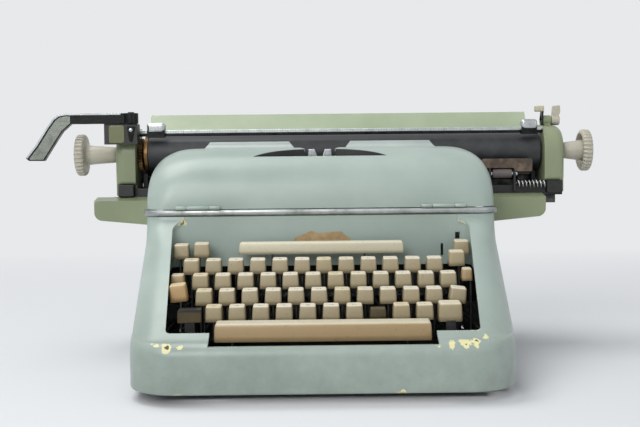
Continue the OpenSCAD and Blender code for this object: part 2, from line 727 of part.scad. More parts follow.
// Toothed bar behind the platen that the margin stops slide on
module margin_rack() color(steel) on_carriage() {
    translate([-plate_in, rack_y - 2, rack_z - 4]) cube([2 * plate_in, 4, 8]);
    for (i = [-30:30]) translate([i * 6 - 1.5, rack_y - 2, rack_z + 4]) cube([3, 4, 1.6]);
    for (s = [-1, 1]) translate([s * (plate_in - 3) - 3, rack_y - 1, rail_top + 10])
        cube([6, 3, rack_z - rail_top - 8]);
}
module margin_stop(at) color(steel) on_carriage() translate([at - stop_w / 2, rack_y, rack_z])
    difference() {
        translate([0, -5, -7]) cube([stop_w, 10, 20]);
        translate([-1, -2 - pass_gap, -4 - pass_gap])
            cube([stop_w + 2, 4 + 2 * pass_gap, 10 + 2 * pass_gap]);
    }
stop_home = 150;
module margin_stop_left() margin_stop(-stop_home);
module margin_stop_right() margin_stop(stop_home);

// Housing of the line-space works on the left end plate, with the return lever's pivot post
lever_pivot_x = -carriage_end + 17.5;
lever_pivot_y = platen_y - end_r - 6;
lever_z = 222.8;
lever_h = 10;
lever_t_y = 8;
post_r = 3;
housing = [31.5, 17, 18.8];
housing_x = -carriage_end - 7.5;
housing_top = lever_z - 1;
module line_space_housing() color(dark) on_carriage() difference() {
    union() {
        translate([housing_x, lever_pivot_y - 6, housing_top - housing.z]) cube(housing);
        translate([lever_pivot_x, lever_pivot_y, housing_top - 2]) cylinder(h = lever_h + 4, r = post_r);
    }
    translate([-carriage_w, platen_y, platen_z]) rotate([0, 90, 0]) cylinder(h = carriage_w, r = end_r);
}

// Return lever: a flat arm to the left, then a paddle that turns down to the hand. The bend is given
// from the tip and from the arm's lower edge, along its outer side, round the tip and back
lever_bend = [[37.5, lever_h], [31.5, 8.7], [27, 5.2], [21, -3.1], [10, -19.8], [0, -32.3], [3, -34.8],
    [17.4, -35], [29, -17], [36, -6.8], [44, 0]];
module return_lever() color(steel) on_carriage() difference() {
    union() {
        translate([lever_pivot_x, lever_pivot_y, lever_z]) cylinder(h = lever_h, r = 7);
        translate([0, lever_pivot_y + lever_t_y / 2, 0]) rotate([90, 0, 0]) linear_extrude(lever_t_y)
            polygon(concat([[lever_pivot_x, lever_z], [lever_pivot_x, lever_z + lever_h]],
                [for (p = lever_bend) [p.x - lever_reach, lever_z + p.y]]));
    }
    translate([lever_pivot_x, lever_pivot_y, lever_z - 1]) cylinder(h = lever_h + 2, r = post_r + run_gap);
}

// Platen between the bail's arms, on its shaft
platen_left = plate_in - 10.5;
platen_right = arm_x - arm_t - pass_gap;
module platen() color(rubber) on_carriage() translate([-platen_left, platen_y, platen_z]) rotate([0, 90, 0])
    difference() {
        cylinder(h = platen_left + platen_right, r = platen_r, $fn = 96);
        translate([0, 0, -1]) cylinder(h = 2 * plate_in, r = shaft_r);
    }
module platen_shaft() color(steel) on_carriage()
    translate([-carriage_end - neck_left - 2, platen_y, platen_z]) rotate([0, 90, 0])
        cylinder(h = carriage_w + neck_left + neck_right + 4, r = shaft_r);

// Ratchet wheel on the platen's left end, with the flange that closes the rubber
ratchet_teeth = 30;
ratchet_r = 16;
ratchet_t = 4;
flange_r = 19;
flange_t = 3.2;
ratchet_gap = 0.6;
ratchet_l = plate_in - platen_left;
function tooth(i) = let (a = 180 * i / ratchet_teeth, r = ratchet_r - 2 * (i % 2)) [r * cos(a), r * sin(a)];
module ratchet_wheel() color(steel) on_carriage() translate([-plate_in, platen_y, platen_z])
    rotate([90, 0, 90]) difference() {
        union() {
            translate([0, 0, ratchet_gap]) linear_extrude(ratchet_t)
                polygon([for (i = [0:2 * ratchet_teeth - 1]) tooth(i)]);
            translate([0, 0, ratchet_gap]) cylinder(h = ratchet_l - ratchet_gap, r = ratchet_r / 2);
            translate([0, 0, ratchet_l - flange_t]) cylinder(h = flange_t, r = flange_r);
        }
        cylinder(h = plate_in, r = shaft_r);
    }

// Knob: ribbed disc on a tapered neck. The right one is hollowed from its inner side
knob_ribs = 30;
rib_r = 1.3;
neck_r = [7.4, 10];
hollow_r = [12, 15.5];
hollow_d = 6;
module knob(neck, hollow) rotate([0, 90, 0]) difference() {
    union() {
        translate([0, 0, pass_gap]) cylinder(h = neck - pass_gap + 1, r1 = neck_r.x, r2 = neck_r.y);
        translate([0, 0, neck]) linear_extrude(knob_t) difference() {
            circle(knob_r);
            for (i = [0:knob_ribs - 1]) rotate(360 * i / knob_ribs)
                translate([knob_r + 0.5, 0]) circle(rib_r);
        }
    }
    cylinder(h = neck + 2, r = shaft_r);
    if (hollow) translate([0, 0, neck - 1]) rotate_extrude()
        translate([hollow_r.x, 0]) square([hollow_r.y - hollow_r.x, hollow_d + 1]);
}
module knob_left() color(ivory) on_carriage() translate([-carriage_end, platen_y, platen_z])
    mirror([1, 0, 0]) knob(neck_left, false);
module knob_right() color(ivory) on_carriage() translate([carriage_end, platen_y, platen_z])
    knob(neck_right, true);

module paper_table() color(olive) on_carriage() translate([0, table_foot_y, table_foot_z]) {
    along_x(2 * plate_in + 12, 0, 0) cylinder(h = 2 * plate_in + 12, r = ear_pin);
    rotate([-table_lean, 0, 0]) {
        translate([-table_w / 2, -1, 0]) cube([table_w, 2, table_h]);
        translate([-table_w / 2, -1, table_h - 3]) cube([table_w, 5, 3]);
    }
}

// Paper bail: a flat scale bar held on two arms, with a block at each end
bail_block = [16, 11, 14.5];
block_x = plate_in - 22;
module bail_scale() color(steel) on_carriage() {
    dy = bail_pivot_y - bail_y;
    dz = bail_pivot_z - bail_z;
    translate([-arm_x, bail_y - 1, bail_z - 3]) cube([2 * arm_x, 2, 6]);
    for (s = [-1, 1]) mirror([s < 0 ? 1 : 0, 0, 0]) {
        translate([arm_x - 1, bail_pivot_y, bail_pivot_z]) rotate([0, 90, 0])
            cylinder(h = ear_t + 1.5, r = ear_pin);
        translate([arm_x - arm_t, bail_y, bail_z - 3]) rotate([-atan2(-dz, dy), 0, 0])
            cube([arm_t, norm([dy, dz]) + 3, 6]);
        translate([block_x, bail_y - 6, bail_z - 4.2]) cube(bail_block);
    }
}

// Levers on the right end plate's ear, each with a pin in it: a paddle outside and a tab inside
paddle = [9, 4, 15];
tab_plate = [8.4, 10, 6];
tab_drop = 8.5;
bracket_t = 1.5;
module at_tab_ear(x) { translate([tab_ear_x + x, tab_ear_y, tab_ear_z]) children(); }
module paper_release_lever() color(ivory) on_carriage() at_tab_ear(ear_t + pass_gap) {
    rotate([0, 90, 0]) cylinder(h = 8, r = ear_r);
    translate([-3.5, 0, 0]) rotate([0, 90, 0]) cylinder(h = 5, r = ear_pin);
    translate([0, -3, 0]) cube(paddle);
}
module carriage_release_lever() color(ivory) on_carriage() at_tab_ear(-pass_gap - bracket_t) {
    rotate([0, 90, 0]) cylinder(h = bracket_t, r = ear_r);
    rotate([0, 90, 0]) cylinder(h = bracket_t + 4, r = ear_pin);
    rotate([90, 0, 90]) linear_extrude(bracket_t) polygon([[-5, 0], [5, 0], [0, 12], [-10, 12]]);
    translate([bracket_t - tab_plate.x, -11, tab_drop]) cube(tab_plate);
}

module feed_roller() color(rubber) on_carriage() {
    along_x(2 * plate_in - 40, feed_y, feed_z) cylinder(h = 2 * plate_in - 40, r = feed_r);
    along_x(2 * plate_in - 6, feed_y, feed_z) cylinder(h = 2 * plate_in - 6, r = 2);
}

// Keyboard. Each lever lies in its own upright plane, a quarter of a key pitch from the next
row_first = [-4.5, -5, -5.25, -5.75];
row_count = [10, 12, 12, 12];
bare_key = 7;
left_keys = 6;
post_w = 6;
// Plate of the key without a cap, and its drop below the key tops
key_plate = [10, 9, 2];
post_drop = 5;

// Planes of the levers that aren't under a lettered key
space_plane = 3.625 * key_pitch;
tab_plane = 2.125 * key_pitch;
shift_plane = 129;
side_planes = [-shift_plane, -124, -119.7, -6 * key_pitch - key_shift, -5.5 * key_pitch - key_shift,
    118.4, 122, 125.4, shift_plane];
all_planes = concat([for (r = [0:3], i = [0:row_count[r] - 1]) key_x(r, i)],
    [for (s = [-1, 1], plane = [space_plane, tab_plane]) s * plane - key_shift], side_planes);

// A cap with drawn-in sides and a top that slopes to the typist
module cap(w, d, h) {
    t = cap_taper;
    drop = d * tan(cap_tilt);
    loft([[[-w / 2, 0, 0], [w / 2, 0, 0], [w / 2, d, 0], [-w / 2, d, 0]],
        [[-w / 2 + t, t, h - drop], [w / 2 - t, t, h - drop],
            [w / 2 - t, d - t, h], [-w / 2 + t, d - t, h]]]);
}

// A lever from the fulcrum rod to a post at the given place
module lever(x, y, top) {
    translate([x - lever_t / 2, 0, 0]) rotate([90, 0, 90]) linear_extrude(lever_t) difference() {
        union() {
            translate([fulcrum_y, fulcrum_z]) circle(fulcrum_r + 3);
            translate([y, fulcrum_z - lever_bar_h / 2]) square([fulcrum_y - y, lever_bar_h]);
            translate([y, fulcrum_z - lever_bar_h / 2]) square([post_w, top - fulcrum_z + lever_bar_h / 2]);
        }
        translate([fulcrum_y, fulcrum_z]) circle(fulcrum_r + run_gap);
    }
}

// A key: lever, post and cap. The cap's front foot edge is at y and its back top edge at z
module key(x, plane, y, z, w, d, h) {
    post_y = y + d / 2 - post_w / 2;
    lever(plane, post_y, z - h + 0.5);
    translate([x, y, z - h]) cap(w, d, h);
}

function key_x(row, i) = (row_first[row] + i) * key_pitch - key_shift;
function key_y(row) = row_y + row * row_pitch;
function key_z(row) = row_z + row * row_rise;
module key_row(row, from, to) place()
    for (i = [from:to]) let (x = key_x(row, i)) {
        if (row == 0 && i == bare_key) {
            color(dark) lever(x, key_y(row) + cap_d / 2 - post_w / 2, key_z(row) - post_drop);
            color(dark) translate([x - key_plate.x / 2, key_y(row) + 2, key_z(row) - post_drop - key_plate.z])
                cube(key_plate);
        } else {
            color(ivory) key(x, x, key_y(row), key_z(row), cap_w, cap_d, cap_h);
        }
    }
module lower_keys() key_row(0, 0, row_count[0] - 1);
module home_keys_left() key_row(1, 0, left_keys - 1);
module home_keys_right() key_row(1, left_keys, row_count[1] - 1);
module upper_keys_left() key_row(2, 0, left_keys - 1);
module upper_keys_right() key_row(2, left_keys, row_count[2] - 1);
module digit_keys_left() key_row(3, 0, left_keys - 1);
module digit_keys_right() key_row(3, left_keys, row_count[3] - 1);

// A key beside the rows: its place is the cap's middle, front foot edge and top
module side_key(at, plane, size) color(ivory) place() key(at.x, plane, at.y, at.z, size.x, size.y, size.z);
cap_size = [cap_w, cap_d, cap_h];
tab_set_at = [-122.9, 126, 114.5];
tab_clear_at = [-105, 126, 115.5];
margin_at = [-122, 90, 92];
margin_size = [12, 12, 9];
lock_at = [-118, 68, 86.5];
lock_size = [14.5, 13, 15];
backspace_at = [116.4, 107.5, 108];
margin_release_at = [123.2, 126, 115.5];
ribbon_at = [122.4, 88, 95];
ribbon_size = [9.5, 11, 11];
module tab_set_key() side_key(tab_set_at, side_planes[1], cap_size);
module tab_clear_key() side_key(tab_clear_at, side_planes[4], cap_size);
module margin_key() side_key(margin_at, side_planes[2], margin_size);
module shift_lock() side_key(lock_at, side_planes[3], lock_size);
module backspace_key() side_key(backspace_at, side_planes[5], cap_size);
module margin_release_key() side_key(margin_release_at, side_planes[6], cap_size);
module ribbon_key() side_key(ribbon_at, side_planes[7], ribbon_size);

// Shift keys: outer levers with an arm across to the cap. The left cap is lost and its plate is bare
shift_y = 48;
shift_left_x = -107;
shift_left_z = 66;
bare_plate = [18, 13, 2];
shift_right_x = 103.2;
shift_right_z = 56;
shift_cap = [19.5, 16, 16];
module shift_arm(side, x, top) {
    lever(side * shift_plane, shift_y, fulcrum_z);
    translate([min(x, side * shift_plane), shift_y, fulcrum_z - lever_bar_h / 2])
        cube([abs(shift_plane - abs(x)), post_w, lever_bar_h]);
    translate([x - 4, shift_y, fulcrum_z - lever_bar_h / 2])
        cube([8, 3, top - fulcrum_z + lever_bar_h / 2]);
}
module shift_left() color(dark) place() {
    shift_arm(-1, shift_left_x, shift_left_z);
    translate([shift_left_x - bare_plate.x / 2, shift_y - 1, shift_left_z]) cube(bare_plate);
}
module shift_right() color(ivory) place() {
    shift_arm(1, shift_right_x, shift_right_z + 1);
    translate([shift_right_x, shift_y, shift_right_z]) cap(shift_cap.x, shift_cap.y, shift_cap.z);
}

// Space bar and tabulator bar, each on two levers
space_y = 24;
space_d = 16;
space_h = 15.5;
tab_y = 127;
tab_d = 11;
module long_bar(w, plane, y, z, d, h) {
    for (s = [-1, 1]) lever(s * plane - key_shift, y + d / 2 - post_w / 2, z - h + 0.5);
    translate([0, y, z - h]) cap(w, d, h);
}
module space_bar() color(ivory) place() long_bar(space_w, space_plane, space_y, space_z, space_d, space_h);
module tab_bar() color(ivory) place() long_bar(tab_w, tab_plane, tab_y, tab_z, tab_d, tab_d);

// Comb that keeps the levers apart, slotted from above
comb_y = 164;
comb_t = 3;
comb_foot = 22;
comb_h = 34;
comb_slot_z = 30;
module key_comb() color(steel) place() difference() {
    translate([-chassis_half + chassis_t / 2, comb_y, comb_foot])
        cube([2 * chassis_half - chassis_t, comb_t, comb_h]);
    for (x = all_planes) translate([x - lever_t / 2 - pass_gap, comb_y - 1, comb_slot_z])
        cube([lever_t + 2 * pass_gap, comb_t + 2, comb_h]);
}

lower_case();
trim_strip();
back_panel();
rail_cover_left();
rail_cover_right();
chassis();
feet();
base_plate();
key_fulcrum();
key_comb();
type_guide();
carriage_rail();
ribbon();
hood_hinge_pins();
mainspring_drum();
spool_left();
spool_right();
type_segment();
typebars();
hood();
carriage_bed();
end_plate_left();
end_plate_right();
paper_pan();
stop_plate();
release_spring();
margin_rack();
line_space_housing();
platen();
platen_shaft();
ratchet_wheel();
knob_left();
knob_right();
return_lever();
paper_table();
bail_scale();
paper_release_lever();
carriage_release_lever();
feed_roller();
side_roller();
margin_stop_left();
margin_stop_right();
space_bar();
tab_bar();
shift_left();
shift_right();
shift_lock();
margin_key();
tab_set_key();
tab_clear_key();
backspace_key();
margin_release_key();
ribbon_key();
digit_keys_left();
digit_keys_right();
upper_keys_left();
upper_keys_right();
home_keys_left();
home_keys_right();
lower_keys();
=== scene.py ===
"""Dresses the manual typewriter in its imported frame: stoved enamel, moulded keys, worn metal, studio."""
import math
import random

import bpy
from mathutils import Matrix, Vector


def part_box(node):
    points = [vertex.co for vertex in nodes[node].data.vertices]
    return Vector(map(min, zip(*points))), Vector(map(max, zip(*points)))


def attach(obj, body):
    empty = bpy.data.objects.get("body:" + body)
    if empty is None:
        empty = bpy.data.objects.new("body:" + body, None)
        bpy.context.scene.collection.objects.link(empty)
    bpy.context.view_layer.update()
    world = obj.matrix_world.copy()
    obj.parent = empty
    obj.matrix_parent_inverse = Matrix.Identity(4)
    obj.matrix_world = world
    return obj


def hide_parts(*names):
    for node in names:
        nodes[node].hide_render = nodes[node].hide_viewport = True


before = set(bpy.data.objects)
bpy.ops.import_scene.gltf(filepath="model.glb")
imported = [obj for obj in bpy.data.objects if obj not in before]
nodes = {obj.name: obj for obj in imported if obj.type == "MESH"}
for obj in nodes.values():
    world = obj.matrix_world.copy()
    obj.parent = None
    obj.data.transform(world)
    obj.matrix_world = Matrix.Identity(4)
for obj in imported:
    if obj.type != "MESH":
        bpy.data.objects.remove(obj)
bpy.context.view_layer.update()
MM = 0.001
dice = random.Random(5)

# The machine's own frame in millimetres: X from the case's middle, Y from the apron's face, Z from the table
case_low, case_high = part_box("lower_case")
MID_X = (case_low.x + case_high.x) / 2
FRONT_Y = case_low.y


def at(x, y, z):
    """A point of the machine's own frame, in metres in the row's frame."""
    return Vector((MID_X + x * MM, FRONT_Y + y * MM, z * MM))


def node_box(name):
    """A CAD node's lowest and highest corner in the machine's own frame, in millimetres."""
    return [((p.x - MID_X) / MM, (p.y - FRONT_Y) / MM, p.z / MM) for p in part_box(name)]


# Finishes
def linear(code):
    """A linear colour from an sRGB hex value."""
    parts = [int(code[i:i + 2], 16) / 255 for i in (1, 3, 5)]
    return tuple(c / 12.92 if c <= 0.04045 else ((c + 0.055) / 1.055) ** 2.4 for c in parts) + (1.0,)


def per_mm(size):
    """Texture scale at which a noise pattern's features are about this many millimetres."""
    return 1 / (size * MM)


def add(tree, kind, inputs=None, **settings):
    """Adds a shader node with its own settings. Each of its inputs is a value or a socket to link."""
    made = tree.nodes.new("ShaderNode" + kind)
    for name, value in settings.items():
        setattr(made, name, value)
    for name, value in (inputs or {}).items():
        if isinstance(value, bpy.types.NodeSocket):
            tree.links.new(value, made.inputs[name])
        else:
            made.inputs[name].default_value = value
    return made


def finish(name):
    """A new material's node tree, its shader, and its object coordinates."""
    made = bpy.data.materials.new(name)
    made.use_nodes = True
    tree = made.node_tree
    shader = tree.nodes["Principled BSDF"]
    place = add(tree, "TexCoord").outputs["Object"]
    return made, tree, shader, place


def connect(tree, shader, colour, rough, relief):
    """Links a finish's colour, roughness and relief to its shader."""
    tree.links.new(colour, shader.inputs["Base Color"])
    tree.links.new(rough, shader.inputs["Roughness"])
    tree.links.new(relief, shader.inputs["Normal"])


def stoved_enamel(name, coat, faded, undercoat, chip_share, spots=()):
    """Stoved enamel on pressed steel: even, half glossy, faded in clouds, chipped to its undercoat at
    edges and at spots, each a place and a reach in millimetres."""
    made, tree, shader, place = finish(name)
    clouds = add(tree, "TexNoise", {"Vector": place, "Scale": per_mm(70), "Detail": 4.0})
    cloud = add(tree, "MapRange", {"Value": clouds.outputs["Fac"], "From Min": 0.38, "From Max": 0.66})
    paint = add(tree, "Mix", {0: cloud.outputs["Result"], 6: linear(coat), 7: linear(faded)},
                data_type="RGBA")
    # Darker towards the bottom, in patches
    height = add(tree, "SeparateXYZ", {0: place})
    low = add(tree, "MapRange", {"Value": height.outputs["Z"], "From Min": 9 * MM, "From Max": 90 * MM,
                                 "To Min": 0.55, "To Max": 0.0})
    smear = add(tree, "TexNoise", {"Vector": place, "Scale": per_mm(14), "Detail": 5.0, "Roughness": 0.65})
    darkening = add(tree, "Math", {0: low.outputs["Result"], 1: smear.outputs["Fac"]}, operation="MULTIPLY")
    darkened = add(tree, "Mix", {0: darkening.outputs[0], 6: paint.outputs[2], 7: linear("#4d4a3e")},
                data_type="RGBA")
    # Edges: where a rounded normal departs from the true one
    rounded = add(tree, "Bevel", {"Radius": 3.0 * MM}, samples=4)
    true = add(tree, "NewGeometry")
    facing = add(tree, "VectorMath", {0: rounded.outputs[0], 1: true.outputs["Normal"]},
                 operation="DOT_PRODUCT")
    edge = add(tree, "MapRange", {"Value": facing.outputs["Value"], "From Min": 0.985, "From Max": 0.80,
                                  "To Min": 0.0, "To Max": 0.22})
    flakes = add(tree, "TexNoise", {"Vector": place, "Scale": per_mm(9), "Detail": 6.0, "Roughness": 0.6})
    patches = add(tree, "TexNoise", {"Vector": place, "Scale": per_mm(55), "Detail": 2.0})
    share = add(tree, "Math", {0: patches.outputs["Fac"], 1: chip_share}, operation="MULTIPLY")
    near = add(tree, "Math", {0: flakes.outputs["Fac"], 1: edge.outputs["Result"]}, operation="ADD")
    prone = add(tree, "Math", {0: near.outputs[0], 1: share.outputs[0]}, operation="ADD")
    # Spots that were struck: the strongest one counts
    struck = None
    for x, y, z, reach in spots:
        away = add(tree, "VectorMath", {0: place, 1: at(x, y, z)}, operation="DISTANCE")
        knocked = add(tree, "MapRange", {"Value": away.outputs["Value"], "From Min": 0.0,
                                         "From Max": reach * MM, "To Min": 0.54, "To Max": 0.0})
        if struck:
            knocked = add(tree, "Math", {0: struck.outputs[0], 1: knocked.outputs[0]}, operation="MAXIMUM")
        struck = knocked
    if struck:
        prone = add(tree, "Math", {0: prone.outputs[0], 1: struck.outputs[0]}, operation="ADD")
    chip = add(tree, "MapRange", {"Value": prone.outputs[0], "From Min": 0.985, "From Max": 1.0})
    core = add(tree, "MapRange", {"Value": prone.outputs[0], "From Min": 1.17, "From Max": 1.185})
    bared = add(tree, "Mix", {0: chip.outputs["Result"], 6: darkened.outputs[2], 7: linear(undercoat)},
                data_type="RGBA")
    colour = add(tree, "Mix", {0: core.outputs["Result"], 6: bared.outputs[2], 7: linear("#45423b")},
                 data_type="RGBA")
    rough = add(tree, "MapRange", {"Value": smear.outputs["Fac"], "To Min": 0.24, "To Max": 0.40})
    worn = add(tree, "Math", {0: chip.outputs["Result"], 1: 0.25}, operation="MULTIPLY")
    matt = add(tree, "Math", {0: rough.outputs["Result"], 1: worn.outputs[0]}, operation="ADD")
    # Orange peel of sprayed enamel, drawn at 2 mm so that it shows, and the step down into a chip
    peel = add(tree, "TexNoise", {"Vector": place, "Scale": per_mm(2), "Detail": 2.0})
    step = add(tree, "Math", {0: peel.outputs["Fac"], 1: chip.outputs["Result"]}, operation="SUBTRACT")
    relief = add(tree, "Bump", {"Height": step.outputs[0], "Strength": 0.10, "Distance": 0.4 * MM})
    connect(tree, shader, colour.outputs[2], matt.outputs[0], relief.outputs[0])
    shader.inputs["IOR"].default_value = 1.5
    return made


def moulded_plastic(name, pale, yellowed, side_shade_colour, darkening):
    """Moulded ivory plastic: satin, yellowed by age from one piece to the next, its sides painted darker and
    browner than its top as painted shade, with painted shade in its hollows and stains in specks."""
    made, tree, shader, place = finish(name)
    piece = add(tree, "NewGeometry")
    clouds = add(tree, "TexNoise", {"Vector": place, "Scale": per_mm(9), "Detail": 3.0})
    mixed = add(tree, "Math", {0: piece.outputs["Random Per Island"], 1: clouds.outputs["Fac"]},
                operation="MULTIPLY")
    age = add(tree, "MapRange", {"Value": mixed.outputs[0], "From Min": 0.05, "From Max": 0.55})
    body = add(tree, "Mix", {0: age.outputs["Result"], 6: linear(pale), 7: linear(yellowed)},
               data_type="RGBA")
    # Painted shade: the more a face turns from upright to sideways, the darker and browner it is painted
    facing = add(tree, "SeparateXYZ", {0: piece.outputs["Normal"]})
    upright = add(tree, "MapRange", {"Value": facing.outputs["Z"], "From Min": 0.85, "From Max": 0.3,
                                     "To Min": 0.0, "To Max": 0.9})
    brown = add(tree, "Mix", {0: upright.outputs["Result"], 6: body.outputs[2], 7: linear(side_shade_colour)},
                data_type="RGBA")
    # Painted shade: darker where ambient occlusion finds hollows and the gaps between caps
    shade = add(tree, "AmbientOcclusion", {"Distance": 7 * MM}, samples=6)
    hollow_shade = add(tree, "MapRange", {"Value": shade.outputs["AO"], "From Min": 0.75, "From Max": 0.2,
                                    "To Min": 0.0, "To Max": 0.75})
    specks = add(tree, "TexNoise", {"Vector": place, "Scale": per_mm(3), "Detail": 5.0, "Roughness": 0.7})
    stain = add(tree, "MapRange", {"Value": specks.outputs["Fac"], "From Min": 0.58, "From Max": 0.75,
                                   "To Min": 0.0, "To Max": 0.45})
    # The painted shade and the stains darken the plastic together
    shade_and_stain = add(tree, "Math", {0: hollow_shade.outputs["Result"], 1: stain.outputs["Result"]}, operation="MAXIMUM")
    colour = add(tree, "Mix", {0: shade_and_stain.outputs[0], 6: brown.outputs[2], 7: linear(darkening)}, data_type="RGBA")
    rough = add(tree, "MapRange", {"Value": specks.outputs["Fac"], "To Min": 0.28, "To Max": 0.52})
    relief = add(tree, "Bump", {"Height": specks.outputs["Fac"], "Strength": 0.12, "Distance": 0.3 * MM})
    connect(tree, shader, colour.outputs[2], rough.outputs["Result"], relief.outputs[0])
    shader.inputs["IOR"].default_value = 1.52
    return made


def worn_metal(name, bright, dull, rough_low, rough_high, grit, metallic=1.0):
    """Metal dulled in patches, with fine scratches along its length and dark pits."""
    made, tree, shader, place = finish(name)
    clouds = add(tree, "TexNoise",
                 {"Vector": place, "Scale": per_mm(grit * 6), "Detail": 5.0, "Roughness": 0.65})
    dulled = add(tree, "MapRange", {"Value": clouds.outputs["Fac"], "From Min": 0.42, "From Max": 0.68})
    skin = add(tree, "Mix", {0: dulled.outputs["Result"], 6: linear(bright), 7: linear(dull)},
               data_type="RGBA")
    along = add(tree, "Mapping", {"Vector": place, "Scale": (0.05, 1.0, 1.0)})
    lines = add(tree, "TexNoise", {"Vector": along.outputs[0], "Scale": per_mm(0.8), "Detail": 2.0})
    pits = add(tree, "TexNoise", {"Vector": place, "Scale": per_mm(grit), "Detail": 4.0, "Roughness": 0.7})
    pit = add(tree, "MapRange", {"Value": pits.outputs["Fac"], "From Min": 0.66, "From Max": 0.74,
                                 "To Min": 0.0, "To Max": 0.8})
    colour = add(tree, "Mix", {0: pit.outputs["Result"], 6: skin.outputs[2], 7: linear("#2b2925")},
                 data_type="RGBA")
    sheen = add(tree, "Math", {0: dulled.outputs["Result"], 1: lines.outputs["Fac"]}, operation="ADD")
    rough = add(tree, "MapRange", {"Value": sheen.outputs[0], "From Min": 0.3, "From Max": 1.5,
                                   "To Min": rough_low, "To Max": rough_high})
    relief = add(tree, "Bump", {"Height": pits.outputs["Fac"], "Strength": 0.15, "Distance": 0.3 * MM})
    connect(tree, shader, colour.outputs[2], rough.outputs["Result"], relief.outputs[0])
    shader.inputs["Metallic"].default_value = metallic
    return made


def dull_skin(name, base, dusty, rough, grain, share, depth):
    """A dull skin, such as rubber, black lacquer or rust, with dust or bloom lying on it in patches."""
    made, tree, shader, place = finish(name)
    clouds = add(tree, "TexNoise",
                 {"Vector": place, "Scale": per_mm(grain * 8), "Detail": 5.0, "Roughness": 0.6})
    lying = add(tree, "MapRange", {"Value": clouds.outputs["Fac"], "From Min": 0.4, "From Max": 0.75,
                                   "To Min": 0.0, "To Max": share})
    colour = add(tree, "Mix", {0: lying.outputs["Result"], 6: linear(base), 7: linear(dusty)},
                 data_type="RGBA")
    tooth = add(tree, "TexNoise", {"Vector": place, "Scale": per_mm(grain), "Detail": 3.0})
    matt = add(tree, "MapRange",
               {"Value": clouds.outputs["Fac"], "To Min": rough - 0.1, "To Max": rough + 0.15})
    relief = add(tree, "Bump", {"Height": tooth.outputs["Fac"], "Strength": depth, "Distance": 0.3 * MM})
    connect(tree, shader, colour.outputs[2], matt.outputs["Result"], relief.outputs[0])
    shader.inputs["IOR"].default_value = 1.5
    return made


# Case and hood: duck-egg enamel over a pale yellow undercoat, struck along the ledge and at corners
CASE_SPOTS = [(88, 1.5, 44.5, 8), (98, 3, 46, 11), (108, 4.5, 47, 13), (117, 7.5, 48.7, 12),
              (125, 11, 50.5, 9), (-128, 6, 47.5, 8), (-119, 4.5, 47, 10), (-109, 3.5, 46.4, 8),
              (-122, 148, 131, 7), (120, 148, 132, 6), (-112, 4, 11, 8), (60, 2, 11, 7), (-158, 60, 40, 8),
              (158, 120, 90, 9), (150, 200, 150, 8)]
CASE_ENAMEL = stoved_enamel("duck_egg_stoved_enamel", "#93a29a", "#a0aea6", "#d9d3a0", 0.26, CASE_SPOTS)
# Deflector lips: the same enamel painted paler and greyer, as painted light where the lips catch the light
LIP_ENAMEL = stoved_enamel("lip_stoved_enamel_painted_paler", "#9fa9a4", "#adb5b0", "#c9c6a8", 0.22)
# End plates and rail covers: a yellower green
OLIVE_ENAMEL = stoved_enamel("olive_stoved_enamel", "#7e8768", "#8b9475", "#cfc795", 0.24)
# Cover plate of the line-space housing: dark olive
HOUSING_ENAMEL = stoved_enamel("dark_olive_stoved_enamel", "#666949", "#717554", "#a39d78", 0.22)
# Paper table: paler than the covers
TABLE_ENAMEL = stoved_enamel("pale_green_stoved_enamel", "#9aa88a", "#a9b59a", "#d9d3a0", 0.22)
# Key caps, then the space bar and two small keys
KEY_PLASTIC = moulded_plastic("moulded_ivory_plastic", "#d9d3c1", "#cbbf9f", "#9a8c6b", "#4a3f2c")
BAR_PLASTIC = moulded_plastic("moulded_cream_plastic", "#cdc8b7", "#c0b595", "#9f8459", "#574a33")
# The tabulator bar and the carriage release tab have kept more of their colour
TAB_PLASTIC = moulded_plastic("moulded_pale_plastic", "#d6d1be", "#c9c2a8", "#b8b198", "#574a33")
# The shift lock has gone orange brown
AMBER_PLASTIC = moulded_plastic("aged_amber_plastic", "#d8c8a4", "#c9b088", "#ae8d5c", "#3c2c1a")
# Platen knobs and paper release lever: greyer than the keys
KNOB_PLASTIC = moulded_plastic("moulded_grey_ivory_plastic", "#bdbaac", "#aba694", "#b3ae9d", "#45433a")
# Trim strip and hinge pins: pitted, dulled aluminium
TRIM_METAL = worn_metal("pitted_aluminium", "#a9aeab", "#838884", 0.28, 0.52, 2.5)
# Return lever, bail arms and claw: chromium plate gone dark; also the painted shade under the bail's scale
# bar and blocks
DARK_CHROME_AND_SHADE = worn_metal("tarnished_chromium_and_painted_shade", "#2d2e2d", "#171615", 0.20, 0.50, 2.0)
# The return lever's paddle: chromium plate dulled by the hand
DULL_CHROME = worn_metal("dulled_chromium_plate", "#83877f", "#575a52", 0.22, 0.50, 2.0)
# Paper scale: satin aluminium
SCALE_METAL = worn_metal("satin_aluminium_scale", "#bbc1bf", "#a0a6a4", 0.35, 0.55, 1.5)
# Ratchet wheel: browned brass
BROWN_BRASS = worn_metal("browned_brass", "#7c6242", "#49392a", 0.35, 0.60, 1.6)
# Bail blocks, stops, shaft, spring and small fasteners: worn chromium plate; also the painted highlight
# along the return lever's edge
BRIGHT_STEEL = worn_metal("worn_chromium_plate_and_painted_highlight", "#c6c9ca", "#9b9c9a", 0.14, 0.42, 2.0)
# Works inside: oiled, darkened steel
WORKS_STEEL = worn_metal("oiled_dark_steel", "#565757", "#302f2c", 0.32, 0.62, 1.6)
# Chassis, carriage bed, housing and brackets: black lacquer under dust; also the painted shade on the lens's
# returned edge
BLACK_PAINT = dull_skin("black_lacquer_and_painted_shade", "#111111", "#333230", 0.42, 1.2, 0.3, 0.1)
# Face of the stop plate: brown rust, darker in patches
RUSTED_STEEL = dull_skin("rusted_steel", "#463a31", "#86745f", 0.75, 1.0, 0.8, 0.5)
